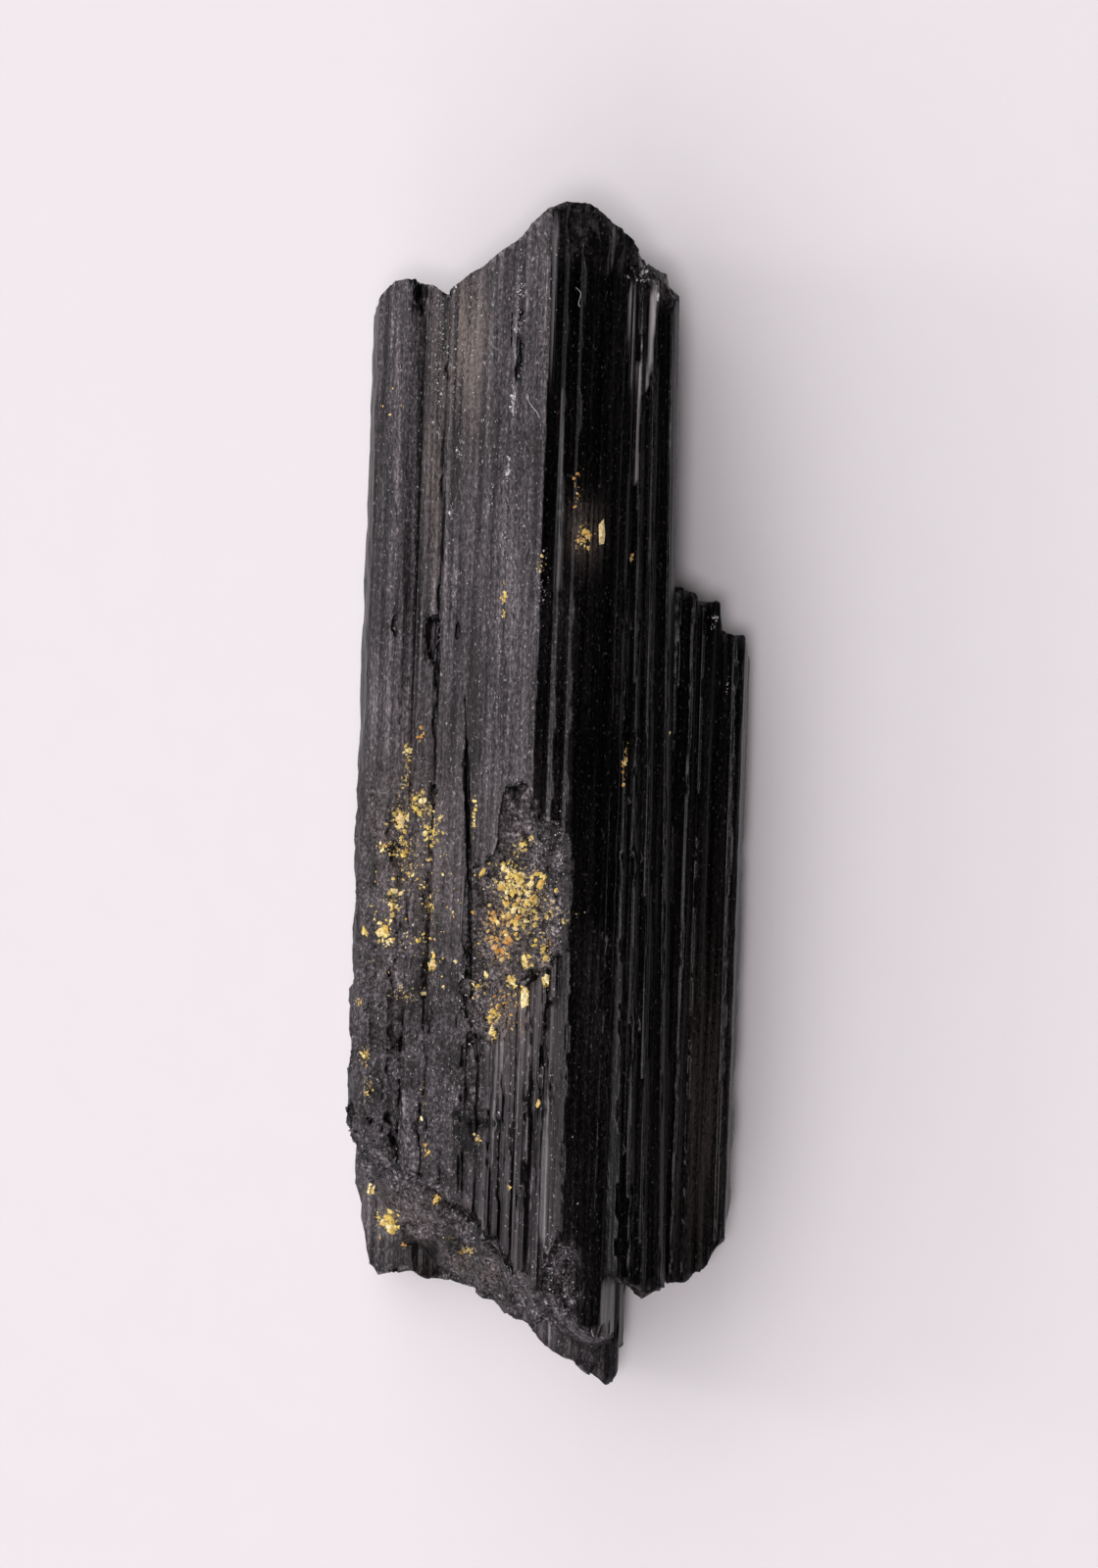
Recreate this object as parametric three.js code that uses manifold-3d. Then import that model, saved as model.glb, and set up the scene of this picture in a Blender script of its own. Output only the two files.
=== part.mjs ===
// A black tourmaline (schorl) crystal: parallel striated prisms grown together, broken off at both ends
// and lying on a prism face. Millimetres, +Y along the prisms, +Z up.
// Each prism is its ribbed cross-section swept along Y, held inside its ragged plan outline swept along Z.
import * as THREE from "three";
import { mergeVertices } from "three/addons/utils/BufferGeometryUtils.js";
import Module from "manifold-3d";

// Driving dimensions
const SWEEP_LENGTH = 90; // longer than the crystal, so that every prism is ended by its plan
const BLANK_LOW = -4; // the plans run from below the base to above the ridge
const BLANK_HIGH = 22;
const BLANK_STEPS = 13;
const FLOOR_GAP = 0.4; // the outer prisms stay this far above the face that the crystal rests on

// Heights of the long edges
const RIDGE_Z = 18;
const SHOULDER_Z = 17.1;
const STEP_Z = 15.3;
const SCAR_Z = 16.6;
const BASE_GROOVE = 0.35; // depth of the grooves in the face that it rests on

// Places of the long edges across the crystal
const LEFT_X = -12.3;
const GROOVE_X = -7.2;
const RIDGE_X = -1.1;
const SHOULDER_X = 1.5;
const STEP_X = 4.3;
const RIGHT_X = 12.6;

// Striation: spacing of the ribs, and how deep they are on smooth and on strongly ribbed faces
const RIB_PITCH = 0.75;
const FINE_RIB = 0.035;
const COARSE_RIB = 0.07;
const RIB_STRAY = 0.85; // share of the spacing by which a rib strays
const LOWEST_RIB = 0.2; // share of the full depth that the shallowest ribs have

// Broken ends: spacing of the corners along a break and how far they stray, and how deep, wide and tall
// the ledges are that step back under the break's upper edge
const BREAK_PITCH = 1.1;
const BREAK_STRAY = 0.28;
const SMOOTH_STRAY = 0.09; // on the upper ends of the middle and left prisms, which are worn smooth
const LEDGE_DEPTH = 0.9;
const LEDGE_WIDTH = 2.6;
const LEDGE_HEIGHT = 3.4;

// Lumpy lower stretch of the left prism: where it starts, where it is at its roughest, and by how much
const LUMPY_HIGH = 5;
const LUMPY_FULL = -4;
const LUMPS = 0.16;
const LUMP_STEPS = 50;

// Cutters for pits and chips: range of the share of its radius that a corner keeps, and how finely
// corners that share a place are told apart
const JAGGED = [0.7, 1.2];
const ROUNDING = 100;

const COLOUR = 0x1b1a1d;
const ROUGHNESS = 0.42;

const wasm = await Module();
wasm.setup();

// A repeatable number from 0 to 1 for each place
function chance(a, b = 0, c = 0) {
  const wave = Math.sin(a * 127.1 + b * 311.7 + c * 74.7) * 43758.5453;
  return wave - Math.floor(wave);
}

// A closed geometry as a solid that can be joined and cut
function solid(geometry) {
  geometry.deleteAttribute("normal");
  geometry.deleteAttribute("uv");
  const merged = mergeVertices(geometry, 1e-4);
  return new wasm.Manifold(
    new wasm.Mesh({
      numProp: 3,
      vertProperties: new Float32Array(merged.attributes.position.array),
      triVerts: new Uint32Array(merged.index.array),
    }),
  );
}

// Moves every vertex of a geometry by move(point), which changes the point in place
function shift(geometry, move) {
  const position = geometry.attributes.position;
  const point = new THREE.Vector3();
  for (let i = 0; i < position.count; i++) {
    move(point.fromBufferAttribute(position, i));
    position.setXYZ(i, point.x, point.y, point.z);
  }
  return geometry;
}

// Cross-section corners [x, z, rib depth of the face that starts there] with the ribs added
function ribbed(corners) {
  const points = [];
  corners.forEach(([x, z, depth = 0], i) => {
    const start = new THREE.Vector2(x, z);
    const next = corners[(i + 1) % corners.length];
    const along = new THREE.Vector2(next[0], next[1]).sub(start);
    const out = new THREE.Vector2(-along.y, along.x).normalize();
    const count = depth ? Math.max(1, Math.round(along.length() / RIB_PITCH)) : 1;
    points.push(start);
    for (let k = 1; k < count; k++) {
      const share = (k + RIB_STRAY * (chance(x, z, k) - 0.5)) / count;
      const side = k % 2 ? -1 : 1;
      const height = side * depth * THREE.MathUtils.lerp(LOWEST_RIB, 1, chance(z, k, x));
      points.push(start.clone().addScaledVector(along, share).addScaledVector(out, height));
    }
  });
  return points;
}

// A ribbed cross-section swept along Y. Its surface strays by up to `rough` in the lumpy lower stretch.
function sweep(corners, rough = 0) {
  const shape = new THREE.Shape(ribbed(corners));
  const steps = rough ? LUMP_STEPS : 1;
  const geometry = new THREE.ExtrudeGeometry(shape, { depth: SWEEP_LENGTH, steps, bevelEnabled: false });
  geometry.rotateX(Math.PI / 2);
  geometry.translate(0, SWEEP_LENGTH / 2, 0);
  return solid(
    shift(geometry, (point) => {
      const { x, y, z } = point;
      const stray = rough * THREE.MathUtils.smoothstep(-y, -LUMPY_HIGH, -LUMPY_FULL);
      point.x += stray * (2 * chance(x, y, z) - 1);
      point.z += stray * (2 * chance(z, x, y) - 1);
    }),
  );
}

// A line of plan corners [x, y] with the ragged corners of a break added between them
function ragged(line, most) {
  const points = [];
  line.forEach(([x, y], i) => {
    const start = new THREE.Vector2(x, y);
    points.push(start);
    if (i === line.length - 1) return;
    const along = new THREE.Vector2(...line[i + 1]).sub(start);
    const across = new THREE.Vector2(-along.y, along.x).normalize();
    const count = Math.max(1, Math.round(along.length() / BREAK_PITCH));
    for (let k = 1; k < count; k++) {
      const stray = most * (2 * chance(x, y, k) - 1);
      points.push(start.clone().addScaledVector(along, k / count).addScaledVector(across, stray));
    }
  });
  return points;
}

// A plan outline swept along Z. Both breaks lean: for every millimetre from the level `from` down to the
// level `to` they move along Y by their lean [at the left end, at the right end].
function blank(plan) {
  const { high, low, highLean = [0, 0], lowLean = [0, 0], from = RIDGE_Z, to = 0 } = plan;
  const { highStray = BREAK_STRAY } = plan;
  const shape = new THREE.Shape([...ragged(high, highStray), ...ragged(low, BREAK_STRAY)]);
  const depth = BLANK_HIGH - BLANK_LOW;
  const geometry = new THREE.ExtrudeGeometry(shape, { depth, steps: BLANK_STEPS, bevelEnabled: false });
  geometry.translate(0, 0, BLANK_LOW);
  const highEnd = Math.min(...high.map(([, y]) => y)) - BREAK_STRAY;
  const left = Math.min(...high.map(([x]) => x));
  const right = Math.max(...high.map(([x]) => x));
  return solid(
    shift(geometry, (point) => {
      const isHigh = point.y > highEnd;
      const lean = isHigh ? highLean : lowLean;
      const share = THREE.MathUtils.smoothstep(point.x, left, right);
      const drop = THREE.MathUtils.clamp(from - point.z, 0, from - to);
      const most = isHigh ? highStray : BREAK_STRAY;
      const stray = most * (2 * chance(point.x, point.y, point.z) - 1);
      const column = Math.floor(point.x / LEDGE_WIDTH);
      const row = Math.floor(point.z / LEDGE_HEIGHT);
      const isUnderEdge = point.z < from - LEDGE_HEIGHT;
      const ledge = isUnderEdge ? LEDGE_DEPTH * chance(column, row) : 0;
      point.y += THREE.MathUtils.lerp(lean[0], lean[1], share) * drop + stray;
      point.y += isHigh ? -ledge : ledge;
    }),
  );
}

// One prism of the crystal, turned about Z by some degrees
function prism({ section, plan, rough, turn = 0 }) {
  return sweep(section, rough).intersect(blank(plan)).rotate([0, 0, turn]);
}

// The tall middle prism, with the ridge and the face that the crystal rests on
const MAIN = {
  section: [
    [GROOVE_X, 15.5, FINE_RIB],
    [RIDGE_X, RIDGE_Z],
    [-0.2, 17.4],
    [0, 17.5, FINE_RIB],
    [0.85, 17.2],
    [0.95, 17.29],
    [SHOULDER_X, SHOULDER_Z, COARSE_RIB],
    [2.8, 16.3, COARSE_RIB],
    [STEP_X, STEP_Z],
    [5.2, 10],
    [5.4, 3, COARSE_RIB],
    [4.4, 0],
    [1.4, 0],
    [1, BASE_GROOVE],
    [0.7, 0],
    [-2.9, 0],
    [-3.3, BASE_GROOVE],
    [-3.8, 0],
    [-5.6, 0, COARSE_RIB],
    [-7.6, 2.6, COARSE_RIB],
    [-8.8, 7.5],
    [-8.6, 12],
  ],
  plan: {
    high: [
      [-9.4, 29.9],
      [-7.1, 31],
      [-5.1, 32.6],
      [-3, 34.3],
      [-1.4, 35.9],
      [-0.3, 36.5],
      [1.1, 36.4],
      [2.4, 35.6],
      [3.7, 34.7],
      [4.5, 33.8],
      [7, 33.2],
    ],
    low: [
      [7, -34],
      [4.1, -34.9],
      [3.3, -34.6],
      [1, -32.3],
      [-1.4, -30.8],
      [-2.4, -29.3],
      [-4.6, -27.5],
      [-6.9, -25.4],
      [-9.4, -24],
    ],
    highStray: SMOOTH_STRAY,
    highLean: [-0.1, -0.1],
    lowLean: [-0.78, -0.3],
    from: 14,
    to: 6,
  },
};

// The rounded left prism, with the narrow rib beside the groove
const LEFT = {
  section: [
    [-6.8, 14.4],
    [-6, 4],
    [-9.4, 4.4, COARSE_RIB],
    [-11.2, 6.4, COARSE_RIB],
    [-12.1, 8.8, FINE_RIB],
    [LEFT_X, 11.4, FINE_RIB],
    [-11.9, 13.2, FINE_RIB],
    [-11, 14.4, FINE_RIB],
    [-9.9, 15, FINE_RIB],
    [-8.8, 14.8],
    [-8.5, 15.3, FINE_RIB],
    [-7.4, 15.4],
  ].reverse(),
  plan: {
    high: [
      [-12.7, 28.4],
      [-12.2, 29.9],
      [-11.6, 30.9],
      [-11, 31.4],
      [-9.5, 31.5],
      [-8.6, 31.2],
      [-7.6, 30.6],
      [-5, 30.2],
    ],
    low: [
      [-5, -25.5],
      [-7.5, -25],
      [-9.5, -23.7],
      [-11.5, -22],
      [-12.7, -20.8],
      [-12.25, -14],
      [-12.35, -9],
      [-12.3, 0],
      [-12.4, 9],
    ],
    highStray: SMOOTH_STRAY,
    lowLean: [-0.45, -0.72],
    from: 14,
    to: 6,
  },
  rough: LUMPS,
};

// The slivers down the right of the middle prism
const SLIVERS = {
  section: [
    [3.4, 14.6],
    [4.7, 14.9],
    [4.9, 14.6],
    [5.3, 14.5],
    [5.4, 14.6],
    [5.75, 14.1],
    [6.15, 14],
    [6.25, 14.12],
    [6.4, 13.7, FINE_RIB],
    [7.2, 13.1],
    [7.3, 13.2],
    [7.5, 12.8],
    [7.75, 12, COARSE_RIB],
    [7.6, 5, COARSE_RIB],
    [6.6, 2],
    [5.4, FLOOR_GAP],
    [2.6, FLOOR_GAP],
  ],
  plan: {
    high: [
      [2, 32.2],
      [4.6, 31.9],
      [5.6, 31.7],
      [6.8, 30.9],
      [7.4, 30],
      [9, 29],
    ],
    low: [
      [9, -30.8],
      [7.6, -31.6],
      [6.3, -32.3],
      [5.2, -31.5],
      [3.6, -31],
      [2, -30.8],
    ],
    highLean: [0.42, 0.42],
    lowLean: [-0.12, -0.12],
    from: 15,
    to: 9.5,
  },
  turn: 1.2,
};

// The lower prism on the right, with a stepped upper end
const RIGHT = {
  section: [
    [6, 10.6],
    [7.9, 10.9],
    [8.65, 10.4],
    [8.8, 10.5],
    [9.4, 10],
    [9.55, 10.1, COARSE_RIB],
    [11.5, 8.8],
    [11.7, 8.95],
    [12.2, 8.5],
    [RIGHT_X, 6.5, COARSE_RIB],
    [12.2, 1.8, COARSE_RIB],
    [11, FLOOR_GAP + 0.2],
    [9.4, FLOOR_GAP],
    [4.6, FLOOR_GAP],
  ],
  plan: {
    high: [
      [5, 12.8],
      [7.5, 12.6],
      [8.9, 12.4],
      [9.2, 12],
      [10.5, 12],
      [10.7, 10.3],
      [12.1, 10.1],
      [12.6, 9.3],
      [13, 8.4],
    ],
    low: [
      [12.7, 0],
      [12.55, -16],
      [12.5, -26.4],
      [12.2, -29],
      [11.5, -30.2],
      [11.2, -30.6],
      [9.7, -31.8],
      [8.6, -31.9],
      [5, -31.7],
    ],
    highLean: [-0.12, -0.12],
    lowLean: [0.1, 0.1],
    from: 10.5,
  },
};

// The prism under the left side, which shows past the slanting break
const LOWER_LEFT = {
  section: [
    [-4, FLOOR_GAP],
    [-9.4, FLOOR_GAP, COARSE_RIB],
    [-11.2, 1.5, COARSE_RIB],
    [-11.9, 3.6, COARSE_RIB],
    [-10.6, 5.3, COARSE_RIB],
    [-8, 6, COARSE_RIB],
    [-5.4, 5.4],
  ],
  plan: {
    high: [
      [-12.5, 17],
      [-10.6, 18.6],
      [-8.4, 17.8],
      [-3, 18.4],
    ],
    low: [
      [-3, -31.6],
      [-5.9, -32.2],
      [-10.1, -32.2],
      [-10.7, -31.8],
      [-11.1, -29.8],
      [-11.4, -27.8],
      [-11.9, -25.6],
      [-12.5, -23],
    ],
    from: 6,
  },
};

// The prism under the middle, which ends in the lowest tip
const TIP = {
  section: [
    [-1.5, 3],
    [-0.5, 7.4],
    [1, 8.5, COARSE_RIB],
    [3.2, 8.9, COARSE_RIB],
    [4.7, 8.5],
    [5.6, 7.6],
    [6, 6.2, COARSE_RIB],
    [5.8, 3.4],
    [4.4, 1],
    [0.5, 0.8],
  ],
  plan: {
    high: [
      [-3, -20],
      [8, -20],
    ],
    low: [
      [6.4, -36.2],
      [5.7, -36.4],
      [5.7, -38.1],
      [5.3, -38.5],
      [4.9, -38.4],
      [2.2, -36.9],
      [0.7, -36],
      [0, -35.1],
      [-3, -33],
    ],
    lowLean: [0.16, 0.16],
    from: 8,
  },
};

// Where a flake has come off the ridge: a slab with a rough underside, held inside the flake's plan
const FLAKE = { width: 9, length: 19, height: 4, x: -1.9, y: -8.2 };
const FLAKE_GRID = [10, 19]; // facets across and along
const FLAKE_ROUGH = 0.18; // how far the underside strays up and down
const FLAKE_STRAY = 0.8; // how far its corners stray in plan
const FLAKE_SLOPE = 0.14; // the underside rises towards the shoulder
const FLAKE_PLAN = {
  high: [
    [-5.2, -6.4],
    [-4.6, -5.4],
    [-3.5, -4.6],
    [-3.2, -2.4],
    [-2.8, -0.3],
    [-1.4, -0.1],
    [-0.8, -1.6],
    [0.4, -2.4],
    [1.2, -3.4],
  ],
  low: [
    [1.5, -5],
    [1.6, -9],
    [1.3, -11.1],
    [0.3, -11.8],
    [-0.8, -12.1],
    [-1.5, -12.9],
    [-1.6, -15.6],
    [-2.7, -16.6],
    [-4.3, -16.3],
    [-5.1, -14],
    [-5.3, -10],
  ],
};
function flakeCut() {
  const { width, length, height, x, y } = FLAKE;
  const geometry = new THREE.BoxGeometry(width, length, height, ...FLAKE_GRID, 1);
  shift(geometry, (point) => {
    const isUnderside = point.z < 0;
    const bump = FLAKE_ROUGH * (2 * chance(point.x, point.y) - 1) + FLAKE_SLOPE * point.x;
    const jump = [chance(point.y, point.x, 1) - 0.5, chance(point.x, point.y, 2) - 0.5];
    point.x += x + FLAKE_STRAY * jump[0];
    point.y += y + FLAKE_STRAY * jump[1];
    point.z += SCAR_Z + height / 2 + (isUnderside ? bump : 0);
  });
  return solid(geometry).intersect(blank(FLAKE_PLAN));
}

// Below the flake the ridge has split off along the prisms and left a floor of slats with grooves between
const SPLIT = { low: -40, left: -4.9, right: 2.4, top: 20, leftFloor: 16.4, rightFloor: 17.05 };
const SPLIT_GROOVES = [
  { x: 0.35, width: 0.35, depth: 0.4 },
  { x: -0.42, width: 0.6, depth: 0.45 },
  { x: -1.5, width: 0.22, depth: 0.25 },
  { x: -2.2, width: 0.22, depth: 0.2 },
  { x: -2.9, width: 0.3, depth: 0.28 },
  { x: -3.9, width: 0.3, depth: 0.18 },
];
const SPLIT_EDGE = [
  [SPLIT.left - 1, -16.2],
  [-2.3, -15.8],
  [-1.5, -12.7],
  [0.3, -11.4],
  [1.3, -10.6],
  [SPLIT.right + 1, -10.2],
];
function splitCut() {
  const { left, right, leftFloor, rightFloor } = SPLIT;
  const floorAt = (x) => THREE.MathUtils.mapLinear(x, left, right, leftFloor, rightFloor);
  const grooves = SPLIT_GROOVES.flatMap(({ x, width, depth }) => [
    [x + width / 2, floorAt(x)],
    [x, floorAt(x) - depth],
    [x - width / 2, floorAt(x)],
  ]);
  const section = [[left, SPLIT.top], [right, SPLIT.top], [right, rightFloor], ...grooves, [left, leftFloor]];
  const end = [
    [right + 1, SPLIT.low],
    [left - 1, SPLIT.low],
  ];
  return sweep(section).intersect(blank({ high: SPLIT_EDGE, low: end }));
}

// A cutter's surface made uneven
function jagged(geometry) {
  return shift(geometry, (point) => {
    const { x, y, z } = point.clone().multiplyScalar(ROUNDING).round();
    point.multiplyScalar(THREE.MathUtils.lerp(...JAGGED, chance(x, y, z)));
  });
}

// Slots, cracks and pits: centre, size along X, Y and Z, and turn about Z in degrees
const SLOTS = [
  { name: "slot in the left prism's upper end", at: [-9.2, 31, 15], size: [0.9, 3.4, 3.6], turn: 4 },
  { name: "crack down the left of the flake", at: [-5, -4.2, 16.4], size: [0.34, 19.5, 2], turn: 3.4 },
  { name: "deep pit beside the groove", at: [-7.8, 9, 15.2], size: [0.8, 3, 2.4], turn: 2 },
  { name: "shallow pit beside it", at: [-6.2, 9.3, 15.9], size: [0.3, 1.2, 0.5], turn: 0 },
  { name: "pit in the left prism", at: [-10.2, 9.6, 14.9], size: [0.6, 1.6, 0.7], turn: 5 },
  { name: "lower pit in the left prism", at: [-7.3, -1, 15.1], size: [0.9, 2, 0.9], turn: -8 },
  { name: "pit in the rough part of the left prism", at: [-9.9, -3.6, 15], size: [1.4, 2.4, 0.7], turn: 10 },
  { name: "crack high on the left face", at: [-3, 27.6, 17.3], size: [0.2, 3.6, 0.5], turn: -2 },
  { name: "hole at the slanting break", at: [-6.2, -26.6, 14.6], size: [1.1, 3.6, 2.4], turn: 40 },
];
function slotCut({ at, size, turn }) {
  const geometry = jagged(new THREE.SphereGeometry(0.5, 9, 8));
  geometry.scale(...size);
  geometry.rotateZ(THREE.MathUtils.degToRad(turn));
  geometry.translate(...at);
  return solid(geometry);
}

// Chips knocked off the edges: centre and radii
const CHIPS = [
  { name: "upper end of the ridge", at: [1.2, 35.6, 18.2], radii: [1.8, 2.8, 1.3] },
  { name: "lower end of the shoulder", at: [1.8, -31.4, 17.5], radii: [1.9, 3, 2.2] },
  { name: "ledge low on the right face", at: [5, -17.1, 16.1], radii: [1.4, 2.2, 1.2] },
  { name: "ledge by the upper slivers", at: [4.4, 33.2, 16], radii: [1, 1.5, 1.5] },
  { name: "upper left corner", at: [-12.6, 31.6, 15.6], radii: [1.5, 1.5, 3] },
  { name: "edge of the slivers", at: [6.2, 31.6, 15], radii: [0.9, 1.2, 1.1] },
  { name: "left edge", at: [-12.7, -17.6, 12.6], radii: [0.8, 1.5, 1.6] },
  { name: "left edge, lower", at: [-12.5, -21.4, 12.8], radii: [0.9, 1.2, 2] },
];
function chipCut({ at, radii }) {
  const geometry = jagged(new THREE.IcosahedronGeometry(1, 2));
  geometry.scale(...radii);
  geometry.translate(...at);
  return solid(geometry);
}

// The prisms joined, then broken and pitted
function crystal() {
  const prisms = [MAIN, LEFT, SLIVERS, RIGHT, LOWER_LEFT, TIP].map(prism);
  const cuts = [flakeCut(), splitCut(), ...SLOTS.map(slotCut), ...CHIPS.map(chipCut)];
  const grown = prisms.reduce((joined, next) => joined.add(next));
  return cuts.reduce((left, cut) => left.subtract(cut), grown);
}

// A solid as a geometry with its base on z = 0 and its box centred on the Z axis
function geometryOf(made) {
  const mesh = made.getMesh();
  const geometry = new THREE.BufferGeometry();
  geometry.setAttribute("position", new THREE.BufferAttribute(mesh.vertProperties, mesh.numProp));
  geometry.setIndex(new THREE.BufferAttribute(mesh.triVerts, 1));
  geometry.computeBoundingBox();
  const { min, max } = geometry.boundingBox;
  geometry.translate(-(min.x + max.x) / 2, -(min.y + max.y) / 2, -min.z);
  geometry.computeVertexNormals();
  return geometry;
}

const material = new THREE.MeshStandardMaterial({ color: COLOUR, roughness: ROUGHNESS, metalness: 0 });
const tourmaline = new THREE.Mesh(geometryOf(crystal()), material);
tourmaline.name = "tourmaline_crystal";

const specimen = new THREE.Group();
specimen.add(tourmaline);

export default specimen;
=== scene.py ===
"""A black tourmaline crystal with yellow mineral grains, lying on a pale floor.

Metres, +Z up, +Y along the prisms. Sizes below are in millimetres and become metres where they are used.
"""

import math
import random
from collections import defaultdict
from typing import NamedTuple

import bmesh
import bpy
import numpy as np
from mathutils import Matrix, Vector, noise
from mathutils.bvhtree import BVHTree


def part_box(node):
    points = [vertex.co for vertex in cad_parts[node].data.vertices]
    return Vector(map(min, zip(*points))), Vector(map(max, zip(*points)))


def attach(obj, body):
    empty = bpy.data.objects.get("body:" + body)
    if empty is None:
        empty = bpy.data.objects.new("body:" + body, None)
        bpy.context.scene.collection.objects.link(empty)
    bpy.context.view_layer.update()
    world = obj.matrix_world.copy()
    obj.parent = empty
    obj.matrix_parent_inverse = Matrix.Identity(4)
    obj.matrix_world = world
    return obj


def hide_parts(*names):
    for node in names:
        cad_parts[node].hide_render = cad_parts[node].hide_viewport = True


MM = 0.001
NODE = "tourmaline_crystal"
SEED = 7

# Photograph's frame and the camera that took it
IMAGE_LONG_SIDE = 1600
FOCAL_PIXELS = 5408
SENSOR = 36
CAMERA_AT = (-0.2, 1.0, 350)
CAMERA_ROLL = 2
CLIP_START = 10

# Dicing of the solid's faces: cell sizes along the prisms and across them
ROW = 0.5
RIGHT_ROW = 1.0
ROUGH_ROW = 0.25
COLUMN = 0.23
BREAK_CELL = 0.27
HIDDEN_CELL = 1.0
HIDDEN_ROW = 2.0
COPLANAR = math.radians(0.2)
SAME_POINT = 1e-6
ON_CUT = 1e-8
CUT_MARGIN = 0.02
# How far a face's normal leans before it counts as hidden, broken, facing right and so on
HIDDEN_UP = -0.5
ROUGH_UP = -0.2
TOP_UP = 0.6
BREAK_ALONG = 0.5
RIGHT_ACROSS = 0.3
SIDE_ACROSS = 0.5
SHARP_ANGLE = math.radians(30)
# Fractal noise: how far apart seeds are, and how octaves weaken and get finer
SEED_SPACING = 31.7
OCTAVE_FALL = 1.0
OCTAVE_STEP = 2.0


class Relief(NamedTuple):
    """A kind of unevenness: cycles per millimetre along X, Y and Z, seed, octaves and height if it is raised."""

    scale: tuple
    seed: int
    octaves: int
    height: float = 0.0


STRIAE = Relief((1.7, 0.03, 1.7), 1, 3, 0.03)
TERRACES = Relief((0.5, 0.022, 0.5), 2, 2, 0.07)
TERRACE_STEPS = 3
SPLIT_RIBS = Relief((1.5, 0.06, 1.5), 8, 3, 0.1)
GRIT = Relief((1.3, 1.3, 1.3), 3, 3, 0.15)
FINE_GRIT = Relief((3.2, 3.2, 3.2), 4, 2, 0.07)
LUMPS = Relief((0.7, 0.4, 0.7), 5, 4, 0.2)
HACKLES = Relief((0.55, 0.55, 0.55), 9, 3, 0.45)
HACKLE_STEPS = 5
RISER = (0.35, 0.65)
PITS = Relief((1.1, 0.6, 1.1), 7, 3, 0.3)
NICKS = Relief((0.8, 0.5, 0.8), 6, 3, 0.28)
WEAR = Relief((0.6, 0.1, 0.6), 12, 2)
FILLING = Relief((1.2, 0.16, 1.2), 14, 2, 0.32)


class Place(NamedTuple):
    """A box on the plan with a soft margin."""

    low: tuple
    high: tuple
    margin: float


SCAR = Place((-5.3, -15.8), (1.7, 1.2), 0.3)
TORN = Place((-5.3, -36), (1.7, 1.2), 0.3)
CHIPPED = Place((-0.4, -33.6), (2.4, -27.6), 0.3)
LUMPY = Place((-13.5, -26), (-6.4, 2), 3.0)
PITTED = Place((-8, -26), (-4.2, -10), 1.2)
LEFT_EDGE = Place((-20, -26), (-10, 29), 0.8)
LEFT_SIDE = Place((-20, -50), (-1.0, 50), 0.35)
UPPER_END = Place((-20, 27), (20, 60), 2.0)
# Upper slivers whose upward edges get painted highlights
HIGHLIT_SLIVERS = Place((4.2, 19), (7.2, 33), 0.6)
SHOULDER = Place((-2.0, -40), (1.2, 13), 0.6)
LOWER_RIGHT = Place((0.5, -36), (4.4, -8), 1.0)
LOWER_END = Place((-20, -60), (6, -20), 2.0)
CHUNK = Place((3.7, 31.9), (8, 36), 0.3)
RIDGE_TOP = Place((-1.3, 33.8), (3.6, 39), 0.6)
POCKET = Place((-5.7, -22.8), (-3.6, -16.4), 0.5)
LOW_CORNER = Place((-13.5, -33), (-6.0, -28.7), 0.5)
LOW_HOLLOW = Place((-8.3, -32), (-6.1, -28.9), 0.35)
RIGHT_CORNER = Place((6.5, 8), (14, 14), 0.8)
TIP_END = Place((0.0, -40), (7, -34), 0.8)


class HighlightPlate(NamedTuple):
    """A thin plate painted as a highlight where it catches the light: its wide and narrow ends, half the wide
    end's width, strength.
    """

    start: tuple
    end: tuple
    half_width: float
    strength: float


PLATE_HIGHLIGHTS = [
    HighlightPlate((5.4, 32.3), (5.15, 26.5), 0.26, 0.8),
    HighlightPlate((4.0, 32.4), (4.1, 26.5), 0.26, 0.6),
    HighlightPlate((4.55, 27.6), (4.6, 20.5), 0.2, 0.8),
    HighlightPlate((-0.15, 13.5), (-0.2, 25.5), 0.26, 0.22),
    HighlightPlate((-0.95, 36.0), (-1.0, 25.0), 0.2, 0.45),
    HighlightPlate((-3.0, -15.6), (-3.0, -23.0), 0.18, 0.45),
    HighlightPlate((0.3, -27.5), (0.35, -19.0), 0.3, 0.3),
    HighlightPlate((2.6, 36.2), (2.55, 34.0), 0.2, 0.3),
]


class Crack(NamedTuple):
    """An open crack: its line on the plan, half its width and its depth."""

    line: tuple
    half_width: float
    depth: float


CRACKS = [
    # Between the middle prism's lower end and the sloping break
    Crack(
        ((-7.7, -24.1), (-6.4, -25.4), (-5.4, -26.1), (-4.0, -26.9), (-3.0, -27.7), (-1.7, -29.8)),
        0.42,
        0.4,
    ),
    # Edge of the plate left of the split
    Crack(((-6.0, -19.8), (-5.3, -20.0), (-4.2, -20.4), (-2.5, -20.5)), 0.2, 0.2),
    # Around the smooth slab right of the split
    Crack(((0.92, -9.9), (0.96, -12.3), (0.1, -13.0), (0.1, -16.7)), 0.18, 0.2),
    # High on the middle prism's left face, and a pit above it
    Crack(((-2.9, 28.8), (-2.98, 27.6), (-3.1, 26.4)), 0.18, 0.15),
    Crack(((-3.0, 30.8), (-2.98, 30.4)), 0.24, 0.15),
]
# Cracks' ragged width, the share of it that is flat floor, and which faces crack
CRACK_LEAST = 0.35
CRACK_VARIES = 1.3
CRACK_FLOOR = 0.3
CRACK_LOOKS_UP = (0.0, 0.3)
CRACK_RAGGED = Relief((1.4, 0.9, 1.4), 15, 3)

# Swellings of the broken ends on the plan: centre, spread and height
SWELLINGS = [
    ((3.7, -36.6), 0.6, 0.55),
    ((-7.1, -30.7), 0.7, 0.5),
    ((5.1, 33.5), 0.6, 0.5),
]
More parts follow.
